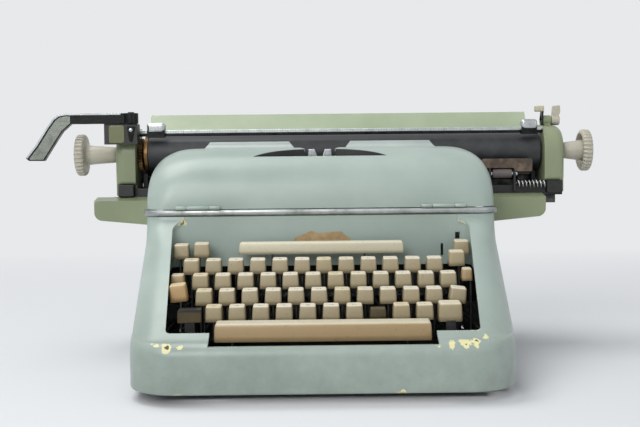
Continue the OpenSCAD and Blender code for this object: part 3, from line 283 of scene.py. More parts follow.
# Platen and feed roller: hard black rubber, polished grey by paper
PLATEN_RUBBER = dull_skin("hard_platen_rubber", "#202224", "#3e4043", 0.5, 1.5, 0.55, 0.08)
# What is left of two lost caps
OLD_GLUE = dull_skin("dried_brown_glue", "#43381d", "#62532f", 0.55, 1.0, 0.5, 0.2)
# Side roller: a grey sleeve
ROLLER_RUBBER = dull_skin("grey_rubber_sleeve", "#5a5351", "#776f6b", 0.6, 1.0, 0.45, 0.1)
# Feet: dull black rubber
FOOT_RUBBER = dull_skin("moulded_foot_rubber", "#1c1c1d", "#4a4a48", 0.8, 1.2, 0.4, 0.25)
# Ribbon: inked cotton
RIBBON_CLOTH = dull_skin("inked_cotton_ribbon", "#121214", "#2f2f36", 0.85, 0.6, 0.5, 0.4)
# Legends and the scale's ticks: dark filling
LEGEND_INK = dull_skin("filled_legend_ink", "#2c2721", "#5d5341", 0.6, 0.8, 0.4, 0.1)
# Label: browned paper
LABEL_PAPER = dull_skin("torn_label_paper", "#b49b74", "#8f7751", 0.85, 0.8, 0.9, 0.4)


# Making pieces
def piece(name, points, faces, body, slot, finish_of, smooth=True):
    """A mesh piece from points of the machine's frame, riding on a body."""
    mesh = bpy.data.meshes.new(name)
    mesh.from_pydata([at(*p) for p in points], [], faces)
    mesh.update()
    made = bpy.data.objects.new(name, mesh)
    bpy.context.scene.collection.objects.link(made)
    mesh.materials.append(finish_of)
    if smooth:
        mesh.polygons.foreach_set("use_smooth", [True] * len(mesh.polygons))
    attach(made, body)
    return made


def soften(made, width, angle=35, segments=2):
    """Rounds a piece's sharp edges by a width in millimetres and evens its shading."""
    weld = made.modifiers.new("weld", "WELD")
    weld.merge_threshold = 0.005 * MM
    bevel = made.modifiers.new("edge", "BEVEL")
    bevel.width = width * MM
    bevel.segments = segments
    bevel.limit_method = "ANGLE"
    bevel.angle_limit = math.radians(angle)
    bevel.use_clamp_overlap = True
    even = made.modifiers.new("even", "WEIGHTED_NORMAL")
    even.keep_sharp = True


def thicken(made):
    """Gives an open shell the sheet's thickness, inwards."""
    wall = made.modifiers.new("wall", "SOLIDIFY")
    wall.thickness = SHEET_T * MM
    wall.offset = -1
    settle(made)


def carve(made, name, points, faces):
    """Cuts a closed shape out of a piece. The cutter itself isn't kept."""
    mesh = bpy.data.meshes.new(name)
    mesh.from_pydata([at(*p) for p in points], [], faces)
    cutter = bpy.data.objects.new(name, mesh)
    bpy.context.scene.collection.objects.link(cutter)
    cut = made.modifiers.new(name, "BOOLEAN")
    cut.operation = "DIFFERENCE"
    cut.solver = "EXACT"
    cut.use_self = True
    cut.object = cutter
    settle(made)
    bpy.data.objects.remove(cutter)


def settle(made):
    """Turns a piece's modifiers into mesh."""
    bpy.context.view_layer.update()
    graph = bpy.context.evaluated_depsgraph_get()
    mesh = bpy.data.meshes.new_from_object(made.evaluated_get(graph))
    made.modifiers.clear()
    made.data = mesh


def prism(outline, low, high):
    """Points and faces of an upright prism over an outline of (x, y)."""
    n = len(outline)
    points = [(x, y, z) for z in (low, high) for x, y in outline]
    faces = [tuple(reversed(range(n))), tuple(range(n, 2 * n))]
    return points, faces + [(i, (i + 1) % n, n + (i + 1) % n, n + i) for i in range(n)]


def strip_faces(count, rows, closed):
    """Quads between rows of points, each row of the same count."""
    last = count if closed else count - 1
    return [(r * count + i, r * count + (i + 1) % count, (r + 1) * count + (i + 1) % count,
             (r + 1) * count + i) for r in range(rows - 1) for i in range(last)]


def end_faces(count, rows):
    """The two faces that close the first and the last of rows of points."""
    return [tuple(reversed(range(count))), tuple(range((rows - 1) * count, rows * count))]


def flipped(faces):
    """Faces that look the other way."""
    return [tuple(reversed(f)) for f in faces]


def arc(cx, cy, rx, ry, start, steps, sweep=90):
    """Points of (x, y) along an oval arc, in degrees."""
    turn = [math.radians(start + sweep * i / steps) for i in range(steps + 1)]
    return [(cx + rx * math.cos(a), cy + ry * math.sin(a)) for a in turn]


# Case
HALF_W = 158.0
CASE_TOE = 6.0
CASE_D = 335.0
GROUND_GAP = 9.0
CASE_TOP = 137.0
SHEET_T = 2.2
APRON_TOP = 49.0
APRON_R = 12.0
CORNER_R = 40.0
BACK_R = 12.0
CORNER_STEPS = 14
CHEEK_W = 29.0
CHEEK_D = 46.0
CHEEK_SLOPE = 0.6
# Depth over which the cheeks' slope runs into the panel
BLEND = 4.0
# Height from which the cheeks' corners run into the trim's, and how much height that takes
EASE_FOOT, EASE_RUN = 112.0, 20.0
PANEL_Y = 150.0
WELL_FRONT = 20.0
WELL_R = 4.0
WELL_BACK = 153.0
WELL_HALF = 123.0
WELL_FLARE = 9.7
PANEL_FACE = 149.7
PANEL_FOOT = 92.0
RETURN_Y, RETURN_STEP = 95, 5
RETURN_GAP = 1.0
RETURN_R = 9.0
BAR_GAP_HALF = 88.5
BAR_GAP_Z = 45.5
REAR_HALF, REAR_FOOT, REAR_TOP = 134.0, 25.0, 115.0
# Slots in the panel for the side keys' levers: name, left end, width, foot, height
PANEL_SLOTS = [("tall_slot", 107.4, 2.2, 99.7, 10.8), ("short_slot", 120.4, 4, 114.6, 6)]
# How far a cut runs past the sheet it goes through
CUT_OVER = 5.0
TRIM_TOP = 143.0
TRIM_RX, TRIM_RY = 20.0, 18.0
HOOD_BACK = 212.0
HOOD_TOP = 198.0


def plan(w, front, back, rx, ry, rb, steps):
    """Level outline of (x, y) from the front's right end round: oval front corners, round back ones."""
    return (arc(w - rx, front + ry, rx, ry, -90, steps) + arc(w - rb, back - rb, rb, rb, 0, 5)
            + arc(-w + rb, back - rb, rb, rb, 90, 5) + arc(-w + rx, front + ry, rx, ry, 180, steps))


def ramp(value):
    """A value held between nought and one."""
    return min(1.0, max(0.0, value))


def case_front(z):
    """Front of the case at a height: apron, rounded edge, then the cheeks' slope up to the panel."""
    if z <= APRON_TOP - APRON_R:
        return 0.0
    if z <= APRON_TOP:
        return APRON_R - math.sqrt(max(0.0, APRON_R ** 2 - (z - APRON_TOP + APRON_R) ** 2))
    slope = APRON_R + (z - APRON_TOP) / CHEEK_SLOPE
    return -BLEND * math.log(math.exp(-slope / BLEND) + math.exp(-PANEL_Y / BLEND))


def case_ring(z, inset):
    """The case's outline at a height, drawn in by an inset."""
    over = ramp((z - APRON_TOP + APRON_R) / APRON_R)
    late = ramp((z - EASE_FOOT) / EASE_RUN)
    rx = CORNER_R + (CHEEK_W - CORNER_R) * over - (CHEEK_W - TRIM_RX) * late
    ry = CORNER_R + (CHEEK_D - CORNER_R) * over - (CHEEK_D - TRIM_RY) * late
    outline = plan(HALF_W - inset, case_front(z) + inset, CASE_D - inset, rx - inset, ry - inset,
                   BACK_R - inset, CORNER_STEPS)
    toe = CASE_TOE / HALF_W
    return [(x * (1 - toe * max(0.0, 1 - y / PANEL_Y)), y, z) for x, y in outline]


def cheek_height(y):
    """Height of the cheeks' slope at a depth."""
    slope = -BLEND * math.log(math.exp(-y / BLEND) - math.exp(-PANEL_Y / BLEND))
    return APRON_TOP + (slope - APRON_R) * CHEEK_SLOPE


def well_side(y):
    """Half width of the keyboard well at a depth."""
    return WELL_HALF + WELL_FLARE * (y - WELL_FRONT) / (WELL_BACK - WELL_FRONT)


def well_corner(gap):
    """Rounded corner between the well's left side and the panel, a gap outside the well."""
    start = PANEL_FACE - 1 + gap - RETURN_R
    x = -well_side(start) - gap
    return arc_back(x + RETURN_R, start, RETURN_R)


def arc_back(cx, cy, r, steps=10):
    """A quarter round from the left of its centre to the back."""
    return [(cx - r * math.cos(math.pi / 2 * i / steps), cy + r * math.sin(math.pi / 2 * i / steps))
            for i in range(steps + 1)]


def lower_case():
    """Pressed shell with the keyboard well cut out of it, and the bent panel behind the keys."""
    levels = [(GROUND_GAP, 1.6), (GROUND_GAP + 0.5, 0.6), (GROUND_GAP + 1.6, 0.0), (GROUND_GAP + 12, 0.0),
              (30.0, 0.0)]
    levels += [(APRON_TOP - APRON_R + APRON_R * math.sin(math.radians(a)), 0.0) for a in range(0, 90, 9)]
    levels += [(APRON_TOP + (CASE_TOP - APRON_TOP) * i / 44, 0.0) for i in range(45)]
    rings = [case_ring(z, inset) for z, inset in levels]
    count = len(rings[0])
    made = piece("case_shell", [p for ring in rings for p in ring], strip_faces(count, len(rings), True),
                 "frame", "case_enamel", CASE_ENAMEL)
    thicken(made)
    front = arc(-WELL_HALF + WELL_R, WELL_FRONT + WELL_R, WELL_R, WELL_R, 180, 5)
    left = list(reversed(front)) + well_corner(0.0)
    mouth = left + [(left[-1][0], WELL_BACK)]
    mouth += [(-x, y) for x, y in reversed(mouth)]
    carve(made, "well", *prism(list(reversed(mouth)), GROUND_GAP + 8, CASE_TOP + 40))
    carve(made, "bar_gap", *box_form(-BAR_GAP_HALF, -CUT_OVER, BAR_GAP_Z,
                                     BAR_GAP_HALF, WELL_FRONT + 2, CASE_TOP))
    carve(made, "rear_window", *box_form(-REAR_HALF, CASE_D - SHEET_T - CUT_OVER, REAR_FOOT,
                                         REAR_HALF, CASE_D + CUT_OVER, REAR_TOP))
    soften(made, 0.9, 40, 3)
    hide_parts("lower_case")

    # Panel behind the top row of keys: one sheet, bent round at both sides along the well, with two slots
    straight = range(RETURN_Y, int(PANEL_FACE - RETURN_R), RETURN_STEP)
    path = [(-well_side(y) - RETURN_GAP, y) for y in straight] + well_corner(RETURN_GAP)
    path += [(-x, y) for x, y in reversed(path)]
    points = []
    for i, (x, y) in enumerate(path):
        a, b = path[max(0, i - 1)], path[min(len(path) - 1, i + 1)]
        run = Vector((b[0] - a[0], b[1] - a[1])).normalized()
        back = (x - run.y * SHEET_T, y + run.x * SHEET_T)
        top = CASE_TOP if y > PANEL_FACE - 0.01 else cheek_height(y) - SHEET_T / 2
        points += [(x, y, PANEL_FOOT), (*back, PANEL_FOOT), (*back, top), (x, y, top)]
    faces = strip_faces(4, len(path), True) + end_faces(4, len(path))
    panel = piece("well_panel", points, flipped(faces), "frame", "case_enamel", CASE_ENAMEL)
    for name, x, w, z, h in PANEL_SLOTS:
        carve(panel, name, *box_form(x, PANEL_FACE - CUT_OVER, z, x + w, PANEL_FACE + CUT_OVER, z + h))
    soften(panel, 0.3, 50, 1)


def rounded_outline(corners, r, steps=4):
    """An outline with each corner rounded by a quadratic curve that starts r before it."""
    made = []
    n = len(corners)
    for i in range(n):
        here = Vector(corners[i])
        before = (Vector(corners[i - 1]) - here).normalized() * r
        after = (Vector(corners[(i + 1) % n]) - here).normalized() * r
        for k in range(steps + 1):
            t = k / steps
            p = here + before * (1 - t) ** 2 + after * t ** 2
            made.append((p.x, p.y))
    return made


# Trim strip and hood
def trim_path():
    """Outline points of the trim and their outward directions, from its left end round to its right."""
    left = arc(-HALF_W + TRIM_RX, PANEL_Y + TRIM_RY, TRIM_RX, TRIM_RY, 180, CORNER_STEPS)
    right = arc(HALF_W - TRIM_RX, PANEL_Y + TRIM_RY, TRIM_RX, TRIM_RY, -90, CORNER_STEPS)
    start, end = PANEL_Y + TRIM_RY + 12, HOOD_BACK - 0.2
    line = [(-HALF_W, end), (-HALF_W, start)] + left + right + [(HALF_W, start), (HALF_W, end)]
    out = []
    for i, p in enumerate(line):
        a, b = line[max(0, i - 1)], line[min(len(line) - 1, i + 1)]
        run = Vector((b[0] - a[0], b[1] - a[1])).normalized()
        out.append((p, (run.y, -run.x)))
    return out


def trim_strip():
    """Rolled moulding: a slightly convex band over a narrow dark recess, with hinge knuckles above."""
    recess, face, bulge, half = -1.0, 1.9, 1.1, 2.5
    foot, top = CASE_TOP + 0.7, TRIM_TOP - 0.2
    profile = [(-SHEET_T, CASE_TOP), (recess, CASE_TOP), (recess, foot), (face, foot)]
    profile += [(face + bulge * math.sin(math.radians(a)), foot + half * (1 - math.cos(math.radians(a))))
                for a in range(20, 161, 20)]
    profile += [(face - 0.3, top), (-SHEET_T, top)]
    path = trim_path()
    points = [(x + d * nx, y + d * ny, z) for (x, y), (nx, ny) in path for d, z in profile]
    n = len(profile)
    faces = flipped(strip_faces(n, len(path), True)) + end_faces(n, len(path))
    made = piece("trim_moulding", points, faces, "frame", "trim_metal", TRIM_METAL)
    soften(made, 0.15, 50, 1)
    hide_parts("trim_strip")
    leaves = [knuckle(side, x) for side in (-1, 1) for x in (HINGE_X, HINGE_X + 3 * HINGE_LEAF)]
    piece("trim_knuckles", *gather(leaves), "frame", "case_enamel", CASE_ENAMEL)


HINGE_X, HINGE_LEAF, HINGE_Y, HINGE_Z = 90.0, 10.0, 147.8, 144.6
KNUCKLE_R, HINGE_BORE, LEAF_PLAY = 1.8, 1.1, 0.4


def knuckle(side, x, length=HINGE_LEAF - LEAF_PLAY):
    """A rolled hinge knuckle: a short tube with rounded ends round the pin."""
    r, edge = KNUCKLE_R, 0.3
    ring = [(0, HINGE_BORE), (0, r - edge), (edge, r), (length - edge, r), (length, r - edge),
            (length, HINGE_BORE)]
    return turned([(side * (x + d), radius) for d, radius in ring], HINGE_Y, HINGE_Z, 24, True)


HOOD_FOOT = TRIM_TOP + 0.4
SHOULDER_W, SHOULDER_POWER = 48.0, 3
CROWN_RUN, CROWN_POWER = 53.0, 2.2
# How much wider and deeper the hood's corners are at its crown than at its foot
CROWN_RX_MORE, CROWN_RY_MORE = 25.0, 8.0
LIP_GAP = 48.0
LIP_W = 85.0
LIP_H = 6.0
LENS_W = 124.0
LENS_D = 17.0
LENS_EDGE = 22.5
LENS_RETURN = 14.0
NOTCH_HALF = 14.0
LIP_RUN = 7.3
LIP_SLANT = 5.0


def drawn_in(t, power):
    """Share by which a rounded shoulder has drawn in at a share of its height."""
    return 1 - max(0.0, 1 - t ** power) ** (1 / power)


def hood_row(t):
    """Open outline of the hood at a share of its height, from the left back corner round the front."""
    half = HALF_W - SHOULDER_W * drawn_in(t, SHOULDER_POWER)
    front = PANEL_Y + CROWN_RUN * drawn_in(t, CROWN_POWER)
    rx = TRIM_RX + CROWN_RX_MORE * t
    ry = min(TRIM_RY + CROWN_RY_MORE * t, 0.8 * (HOOD_BACK - front))
    z = HOOD_FOOT + (HOOD_TOP - HOOD_FOOT) * t
    left = arc(-half + rx, front + ry, rx, ry, 180, CORNER_STEPS)
    right = arc(half - rx, front + ry, rx, ry, -90, CORNER_STEPS)
    level = [(-half, HOOD_BACK), (-half, (HOOD_BACK + front + ry) / 2)] + left
    level += [(-half + rx + (2 * half - 2 * rx) * i / 12, front) for i in range(1, 12)] + right
    level += [(half, (HOOD_BACK + front + ry) / 2), (half, HOOD_BACK)]
    return [(x, y, z) for x, y in level]


def lip_form(side):
    """A deflector lip: the crown's sheet bent up in a curve at the back, its ends cut at a slant."""
    foot = HOOD_BACK - SHEET_T - LIP_RUN
    profile = [(foot + LIP_RUN * math.sin(math.radians(a)),
                HOOD_TOP + LIP_H * (1 - math.cos(math.radians(a)))) for a in range(0, 91, 9)]
    profile += [(HOOD_BACK, HOOD_TOP + LIP_H), (HOOD_BACK, HOOD_TOP - SHEET_T), (foot, HOOD_TOP - SHEET_T)]
    points = []
    for y, z in profile:
        cut = LIP_SLANT * max(0.0, z - HOOD_TOP) / LIP_H
        points += [(side * (LIP_GAP / 2 + cut), y, z), (side * (LIP_GAP / 2 + LIP_W - cut), y, z)]
    n = len(profile)
    faces = [(2 * i, 2 * i + 1, 2 * ((i + 1) % n) + 1, 2 * ((i + 1) % n)) for i in range(n)]
    faces += [tuple(range(0, 2 * n, 2)), tuple(reversed(range(1, 2 * n, 2)))]
    return points, faces if side < 0 else flipped(faces)


def crown_height(y):
    """Height of the hood's crown at a depth, in its middle."""
    run = max(0.0, 1 - (y - PANEL_Y) / CROWN_RUN)
    return HOOD_FOOT + (HOOD_TOP - HOOD_FOOT) * (1 - drawn_in(run, CROWN_POWER))


def edge_form(side, centre_y, r, end_angle):
    """Returned edge of one side of the lens: a thin wall along its arc, from the mouth to the tip."""
    steps = 16
    outer, inner, foot = r + 0.1, r - 0.7, HOOD_TOP - LENS_RETURN
    near = math.degrees(math.asin((NOTCH_HALF + 0.6) / r))
    points = []
    for i in range(steps + 1):
        a = math.radians(90 - side * (near + (end_angle - near) * i / steps))
        top = crown_height(centre_y + r * math.sin(a)) - 0.25
        for d, z in ((outer, foot), (outer, top), (inner, top), (inner, foot)):
            points.append((d * math.cos(a), centre_y + d * math.sin(a), z))
    faces = strip_faces(4, steps + 1, True) + end_faces(4, steps + 1)
    return points, faces if side > 0 else flipped(faces)


def hood():
    """Pressed hood: smooth shoulders, a lens-shaped opening in the crown and two turned-up lips."""
    steps = 40
    rows = [hood_row(math.sin(math.pi / 2 * i / steps)) for i in range(steps + 1)]
    count = len(rows[0])
    crown = reversed(range((len(rows) - 1) * count, len(rows) * count))
    faces = strip_faces(count, len(rows), False) + [tuple(crown)]
    made = piece("hood_shell", [p for row in rows for p in row], faces, "hood_body", "case_enamel",
                 CASE_ENAMEL)
    thicken(made)
    r = ((LENS_W / 2) ** 2 + LENS_D ** 2) / (2 * LENS_D)
    front = HOOD_BACK - LENS_EDGE - LENS_D
    half_angle = math.degrees(math.asin(LENS_W / 2 / r))
    lens = arc(0, front + LENS_D - r, r, r, 90 - half_angle, 24, 2 * half_angle)
    cut_low, cut_high = HOOD_TOP - 25, HOOD_TOP + 15
    carve(made, "lens", *prism(lens, cut_low, cut_high))
    mouth = [(-NOTCH_HALF, HOOD_BACK - LENS_EDGE - 1), (NOTCH_HALF, HOOD_BACK - LENS_EDGE - 1),
             (LIP_GAP / 2, HOOD_BACK + 1), (-LIP_GAP / 2, HOOD_BACK + 1)]
    carve(made, "mouth", *prism(mouth, cut_low, cut_high))
    soften(made, 0.6, 40, 2)
    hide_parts("hood")

    # Returned edge along the back of the lens, on both sides of its mouth, painted black as the shade under
    # the far rim
    edges = [edge_form(side, front + LENS_D - r, r, half_angle - 1) for side in (-1, 1)]
    piece("lens_edge", *gather(edges), "hood_body", "black_paint", BLACK_PAINT, False)

    for side, name in ((-1, "lip_left"), (1, "lip_right")):
        lip = piece(name, *lip_form(side), "hood_body", "case_enamel", LIP_ENAMEL)
        soften(lip, 0.5, 40)
    leaves = [knuckle(side, HINGE_X + HINGE_LEAF, 2 * HINGE_LEAF - LEAF_PLAY) for side in (-1, 1)]
    leaves += [span_form(*sorted((side * (HINGE_X + HINGE_LEAF),
                                  side * (HINGE_X + 3 * HINGE_LEAF - LEAF_PLAY))),
                         HINGE_Y + 1.2, HINGE_Z, PANEL_Y + 1, HINGE_Z + KNUCKLE_R) for side in (-1, 1)]
    piece("hood_knuckles", *gather(leaves), "hood_body", "case_enamel", CASE_ENAMEL)


# Keys
CAP_W, CAP_D, CAP_H = 14.2, 13.4, 13.5
CAP_TAPER, CAP_TILT = 0.7, 5.0
# What is left of a cap: its size, and how far it stands behind the cap's front and below its top
STUMP_W, STUMP_D, STUMP_H = 13.5, 9.0, 9.0
STUMP_BACK, STUMP_DROP = 2.5, 12.5
# A legend stands a little behind the cap's middle, just above the dish
LEGEND_SIZE, LEGEND_BACK, LEGEND_DROP = 6.0, 0.6, 0.46


def rounded_rectangle(w, d, r, steps=4):
    """Outline of (x, y) with round corners, its front edge on y = 0."""
    return (arc(w / 2 - r, r, r, r, -90, steps) + arc(w / 2 - r, d - r, r, r, 0, steps)
            + arc(-w / 2 + r, d - r, r, r, 90, steps) + arc(-w / 2 + r, r, r, r, 180, steps))


def cap_form(w, d, h, dish=0.5, corner=2.0, edge=1.3):
    """A moulded cap: drawn-in sides, a rounded top edge and a dished top that slopes forward."""
    slope = math.tan(math.radians(CAP_TILT))
    rows = [(0.0, 0.0), (CAP_TAPER * 0.25, 0.3), (CAP_TAPER * 0.6, 0.7)]
    rows = [(inset, share, 0.0) for inset, share in rows]
    for k in range(5):
        a = math.radians(22.5 * k)
        rows.append((CAP_TAPER + edge * (1 - math.cos(a)), 1.0, -edge * (1 - math.sin(a))))
    reach = min(w, d) / 2
    for k in range(1, 4):
        t = k / 4
        rows.append((CAP_TAPER + edge + (reach - CAP_TAPER - edge) * t, 1.0, -dish * (1 - (1 - t) ** 2)))
    points = []
    for inset, share, drop in rows:
        r = max(0.3, corner - inset * 0.4)
        for x, y in rounded_rectangle(w - 2 * inset, d - 2 * inset, min(r, d / 2 - inset - 0.01)):
            y += inset
            top = h - (d - y) * slope + drop
            points.append((x, y, share * top))
    n = len(points) // len(rows)
    faces = strip_faces(n, len(rows), True)
    faces.append(tuple(range((len(rows) - 1) * n, len(rows) * n)))
    faces.append(tuple(reversed(range(n))))
    return points, faces


def tilt_about(points, centre, roll, nod):
    """Points turned about a centre: roll leans sideways, nod leans forward, in degrees."""
    turn = Matrix.Rotation(math.radians(roll), 3, "Y") @ Matrix.Rotation(math.radians(nod), 3, "X")
    c = Vector(centre)
    return [tuple(turn @ (Vector(p) - c) + c) for p in points]


def turned(profile, y, z, sides, tube=False, groove=None):
    """Points and faces turned round an axis along X at (y, z). profile is (x, r) from end to end, and
    joins up again in a tube. groove gives how far each row's radius falls at a turn."""
    points = []
    for row, (x, r) in enumerate(profile):
        for i in range(sides):
            a = 2 * math.pi * i / sides
            here = r - (groove(row, a) if groove else 0)
            points.append((x, y + here * math.cos(a), z + here * math.sin(a)))
    rows = len(profile)
    faces = strip_faces(sides, rows, True)
    if tube:
        last = (rows - 1) * sides
        faces += [(last + i, last + (i + 1) % sides, (i + 1) % sides, i) for i in range(sides)]
    else:
        faces += end_faces(sides, rows)
    if profile[0][0] > profile[-1][0] or (tube and profile[0][0] > profile[len(profile) // 2][0]):
        faces = flipped(faces)
    return points, flipped(faces)


def span_form(x0, x1, y0, z0, y1, z1):
    """A plain block between two places across the machine."""
    return box_form(x0, y0, z0, x1, y1, z1)


def box_form(x0, y0, z0, x1, y1, z1):
    """A plain block, to be softened or joined to others."""
    return prism([(x0, y0), (x1, y0), (x1, y1), (x0, y1)], z0, z1)


def side_form(outline, x0, x1):
    """A plate with an outline of (y, z), from x0 to x1."""
    flat_points, faces = prism(outline, x0, x1)
    return [(x, y, z) for y, z, x in flat_points], faces


def front_form(outline, y0, y1):
    """A plate with an outline of (x, z), from y0 back to y1."""
    flat_points, faces = prism(outline, y0, y1)
    return [(x, y, z) for x, z, y in flat_points], flipped(faces)


def gather(parts):
    """One list of points and faces from several."""
    points, faces = [], []
    for some_points, some_faces in parts:
        start = len(points)
        points += some_points
        faces += [tuple(start + i for i in f) for f in some_faces]
    return points, faces


def moved(form, x, y, z):
    """A form carried to another place."""
    points, faces = form
    return [(px + x, py + y, pz + z) for px, py, pz in points], faces


LEVER_T = 1.6
LEVER_H = 6.0
POST_W = 6.0
# A post runs this far into its cap, and stands this much higher where the cap is lost
POST_SINK, BARE_POST = 0.5, 8.0
FULCRUM_Y, FULCRUM_Z = 288.0, 44.0
EYE_R = 6.0


def lever_form(x, post_y, top):
    """A stamped lever: eye round the fulcrum rod, long bar, post up to the cap."""
    low, high = FULCRUM_Z - LEVER_H / 2, FULCRUM_Z + LEVER_H / 2
    outline = [(post_y, low), (FULCRUM_Y - 5, low)] + arc(FULCRUM_Y, FULCRUM_Z, EYE_R, EYE_R, -140, 10, 280)
    outline += [(FULCRUM_Y - 5, high), (post_y + POST_W + 2, high), (post_y + POST_W, high + 2),
                (post_y + POST_W, top), (post_y, top)]
    return side_form(outline, x - LEVER_T / 2, x + LEVER_T / 2)


def lever_piece(name, forms, body):
    """Levers of oiled steel on one body, with their edges eased."""
    made = piece(name, *gather(forms), body, "works_steel", WORKS_STEEL, False)
    soften(made, 0.25, 40, 1)


LETTERS = {"digit_keys_left": "234567", "digit_keys_right": "890-=/", "upper_keys_left": "QWERTY",
           "upper_keys_right": "UIOP(+", "home_keys_left": "ASDFGH", "home_keys_right": "JKL;:*",
           "lower_keys": "ZXCVBNM,.?"}
# Places in their rows of the lost cap and of the loose one
BARE_KEY = 7
LOOSE_KEY, LOOSE_LEAN = 5, 7.0


def legend_form(letter, x, y, z, size):
    """Points and faces of one character lying flat at a place, read from the front."""
    curve = bpy.data.curves.new("legend_" + str(ord(letter)), "FONT")
    curve.body = letter
    curve.size = size
    curve.align_x = "CENTER"
    curve.align_y = "CENTER"
    holder = bpy.data.objects.new("legend_holder", curve)
    bpy.context.scene.collection.objects.link(holder)
    bpy.context.view_layer.update()
    mesh = bpy.data.meshes.new_from_object(holder.evaluated_get(bpy.context.evaluated_depsgraph_get()))
    slope = math.tan(math.radians(CAP_TILT))
    points = [(x + v.co.x, y + v.co.y, z + v.co.y * slope) for v in mesh.vertices]
    faces = [tuple(p.vertices) for p in mesh.polygons]
    bpy.data.objects.remove(holder)
    bpy.data.meshes.remove(mesh)
    return points, faces


def key_group(name):
    """A group of lettered keys on one body: caps, levers, legends, and a stump where a cap is lost."""
    letters = LETTERS[name]
    body = name + "_body"
    low, high = node_box(name)
    pitch = (high[0] - low[0] - CAP_W) / (len(letters) - 1)
    caps, levers, legends = [], [], []
    front, top = low[1], high[2]
    slope = math.tan(math.radians(CAP_TILT))
    for i, letter in enumerate(letters):
        x = low[0] + CAP_W / 2 + i * pitch
        bare = name == "lower_keys" and i == BARE_KEY
        post_top = top - CAP_H + POST_SINK + (BARE_POST if bare else 0)
        levers.append(lever_form(x, front + CAP_D / 2 - POST_W / 2, post_top))
        if bare:
            stump = cap_form(STUMP_W, STUMP_D, STUMP_H, 0.5, 1.0, 0.8)
            stump = moved(stump, x, front + STUMP_BACK, top - STUMP_DROP)
            piece(name + "_stump", *stump, body, "black_paint", OLD_GLUE)
            continue
        points, faces = moved(cap_form(CAP_W, CAP_D, CAP_H), x, front, top - CAP_H)
        mid = (x, front + CAP_D / 2, top - CAP_H)
        legend = legend_form(letter, x, front + CAP_D / 2 + LEGEND_BACK,
                             top - (CAP_D / 2 - LEGEND_BACK) * slope - LEGEND_DROP, LEGEND_SIZE)
        lean = LOOSE_LEAN if name == "home_keys_right" and i == LOOSE_KEY else dice.uniform(-1.0, 1.0)
        caps.append((tilt_about(points, mid, lean, 0), faces))
        legends.append((tilt_about(legend[0], mid, lean, 0), legend[1]))
    made = piece(name + "_caps", *gather(caps), body, "ivory_plastic", KEY_PLASTIC)
    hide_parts(name)
    lever_piece(name + "_levers", levers, body)
    piece(name + "_legends", *gather(legends), body, "black_paint", LEGEND_INK, False)


# Single keys: the node, its finish, its cap's lean in degrees, the height of the cap
SINGLE_KEYS = [("tab_set_key", KEY_PLASTIC, 0.0, CAP_H), ("tab_clear_key", KEY_PLASTIC, 0.5, CAP_H),
               ("margin_key", BAR_PLASTIC, 0.0, 9.0), ("shift_lock", AMBER_PLASTIC, -6.0, 15.0),
               ("backspace_key", KEY_PLASTIC, 0.0, CAP_H), ("margin_release_key", KEY_PLASTIC, 1.0, CAP_H),
               ("ribbon_key", BAR_PLASTIC, 0.0, 11.0)]
# Where their levers stand across the machine, and the caps that aren't as wide or deep as the lettered ones
LEVER_PLANE = {"tab_set_key": -124, "margin_key": -119.7, "shift_lock": -116.9, "tab_clear_key": -107.4,
               "backspace_key": 118.4, "margin_release_key": 122, "ribbon_key": 125.4}
SINGLE_W = {"margin_key": 12, "shift_lock": 14.5, "ribbon_key": 9.5}
SINGLE_D = {"margin_key": 12, "shift_lock": 13, "ribbon_key": 11}


def single_key(name, finish_of, lean, height):
    """A function key beside the rows: cap and lever."""
    low, high = node_box(name)
    w, d = SINGLE_W.get(name, CAP_W), SINGLE_D.get(name, CAP_D)
    plane = LEVER_PLANE[name]
    # The node's box also holds the lever: the cap stands at its left end unless the lever does
    x = low[0] + w / 2 if low[0] + w / 2 <= plane + 3 and plane - low[0] > 1.5 else high[0] - w / 2
    front, top = low[1], high[2]
    points, faces = moved(cap_form(w, d, height), x, front, top - height)
    points = tilt_about(points, (x, front + d / 2, top - height), lean, 0)
    body = name + "_body"
    made = piece(name + "_cap", points, faces, body, "ivory_plastic", finish_of)
    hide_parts(name)
    lever = lever_form(plane, front + d / 2 - POST_W / 2, top - height + POST_SINK)
    lever_piece(name + "_lever", [lever], body)


# Long bars: the node, how far its levers stand from their middle, its depth, its height, its finish
LONG_BARS = [("space_bar", 69.06, 16, 15.5, BAR_PLASTIC), ("tab_bar", 40.48, 11, 11, TAB_PLASTIC)]
KEY_SHIFT = 2.6


def long_bar(name, plane, d, h, finish_of):
    """A long moulded bar on two levers."""
    low, high = node_box(name)
    form = cap_form(high[0] - low[0], d, h, 0.0, 1.6, 2.2)
    body = name + "_body"
    mid = (low[0] + high[0]) / 2
    made = piece(name + "_moulding", *moved(form, mid, low[1], high[2] - h), body, "ivory_plastic",
                 finish_of)
    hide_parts(name)
    levers = [lever_form(s * plane - KEY_SHIFT, low[1] + d / 2 - POST_W / 2, high[2] - h + POST_SINK)
              for s in (-1, 1)]
    lever_piece(name + "_levers", levers, body)


def shift_right():
    """The broad right shift key: cap, post, cross arm and lever."""
    low, high = node_box("shift_right")
    w, d, h = 19.5, 16.0, 16.0
    x, front = low[0] + w / 2, low[1]
    cap = cap_form(w, d, h, 0.6, 2.6, 1.8)
    made = piece("shift_right_cap", *moved(cap, x, front, high[2] - h), "shift_right_body",
                 "ivory_plastic", KEY_PLASTIC)
    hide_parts("shift_right")
    arm_low, arm_high = FULCRUM_Z - LEVER_H / 2, FULCRUM_Z + LEVER_H / 2
    plane = high[0] - LEVER_T / 2
    parts = [lever_form(plane, front, arm_high + 2.1),
             box_form(x, front, arm_low, plane, front + POST_W, arm_high),
             box_form(x - 4, front, arm_low, x + 4, front + 3, high[2] - h + 1)]
    lever_piece("shift_right_lever", parts, "shift_right_body")


SHIFT_LEFT_X = -107.0
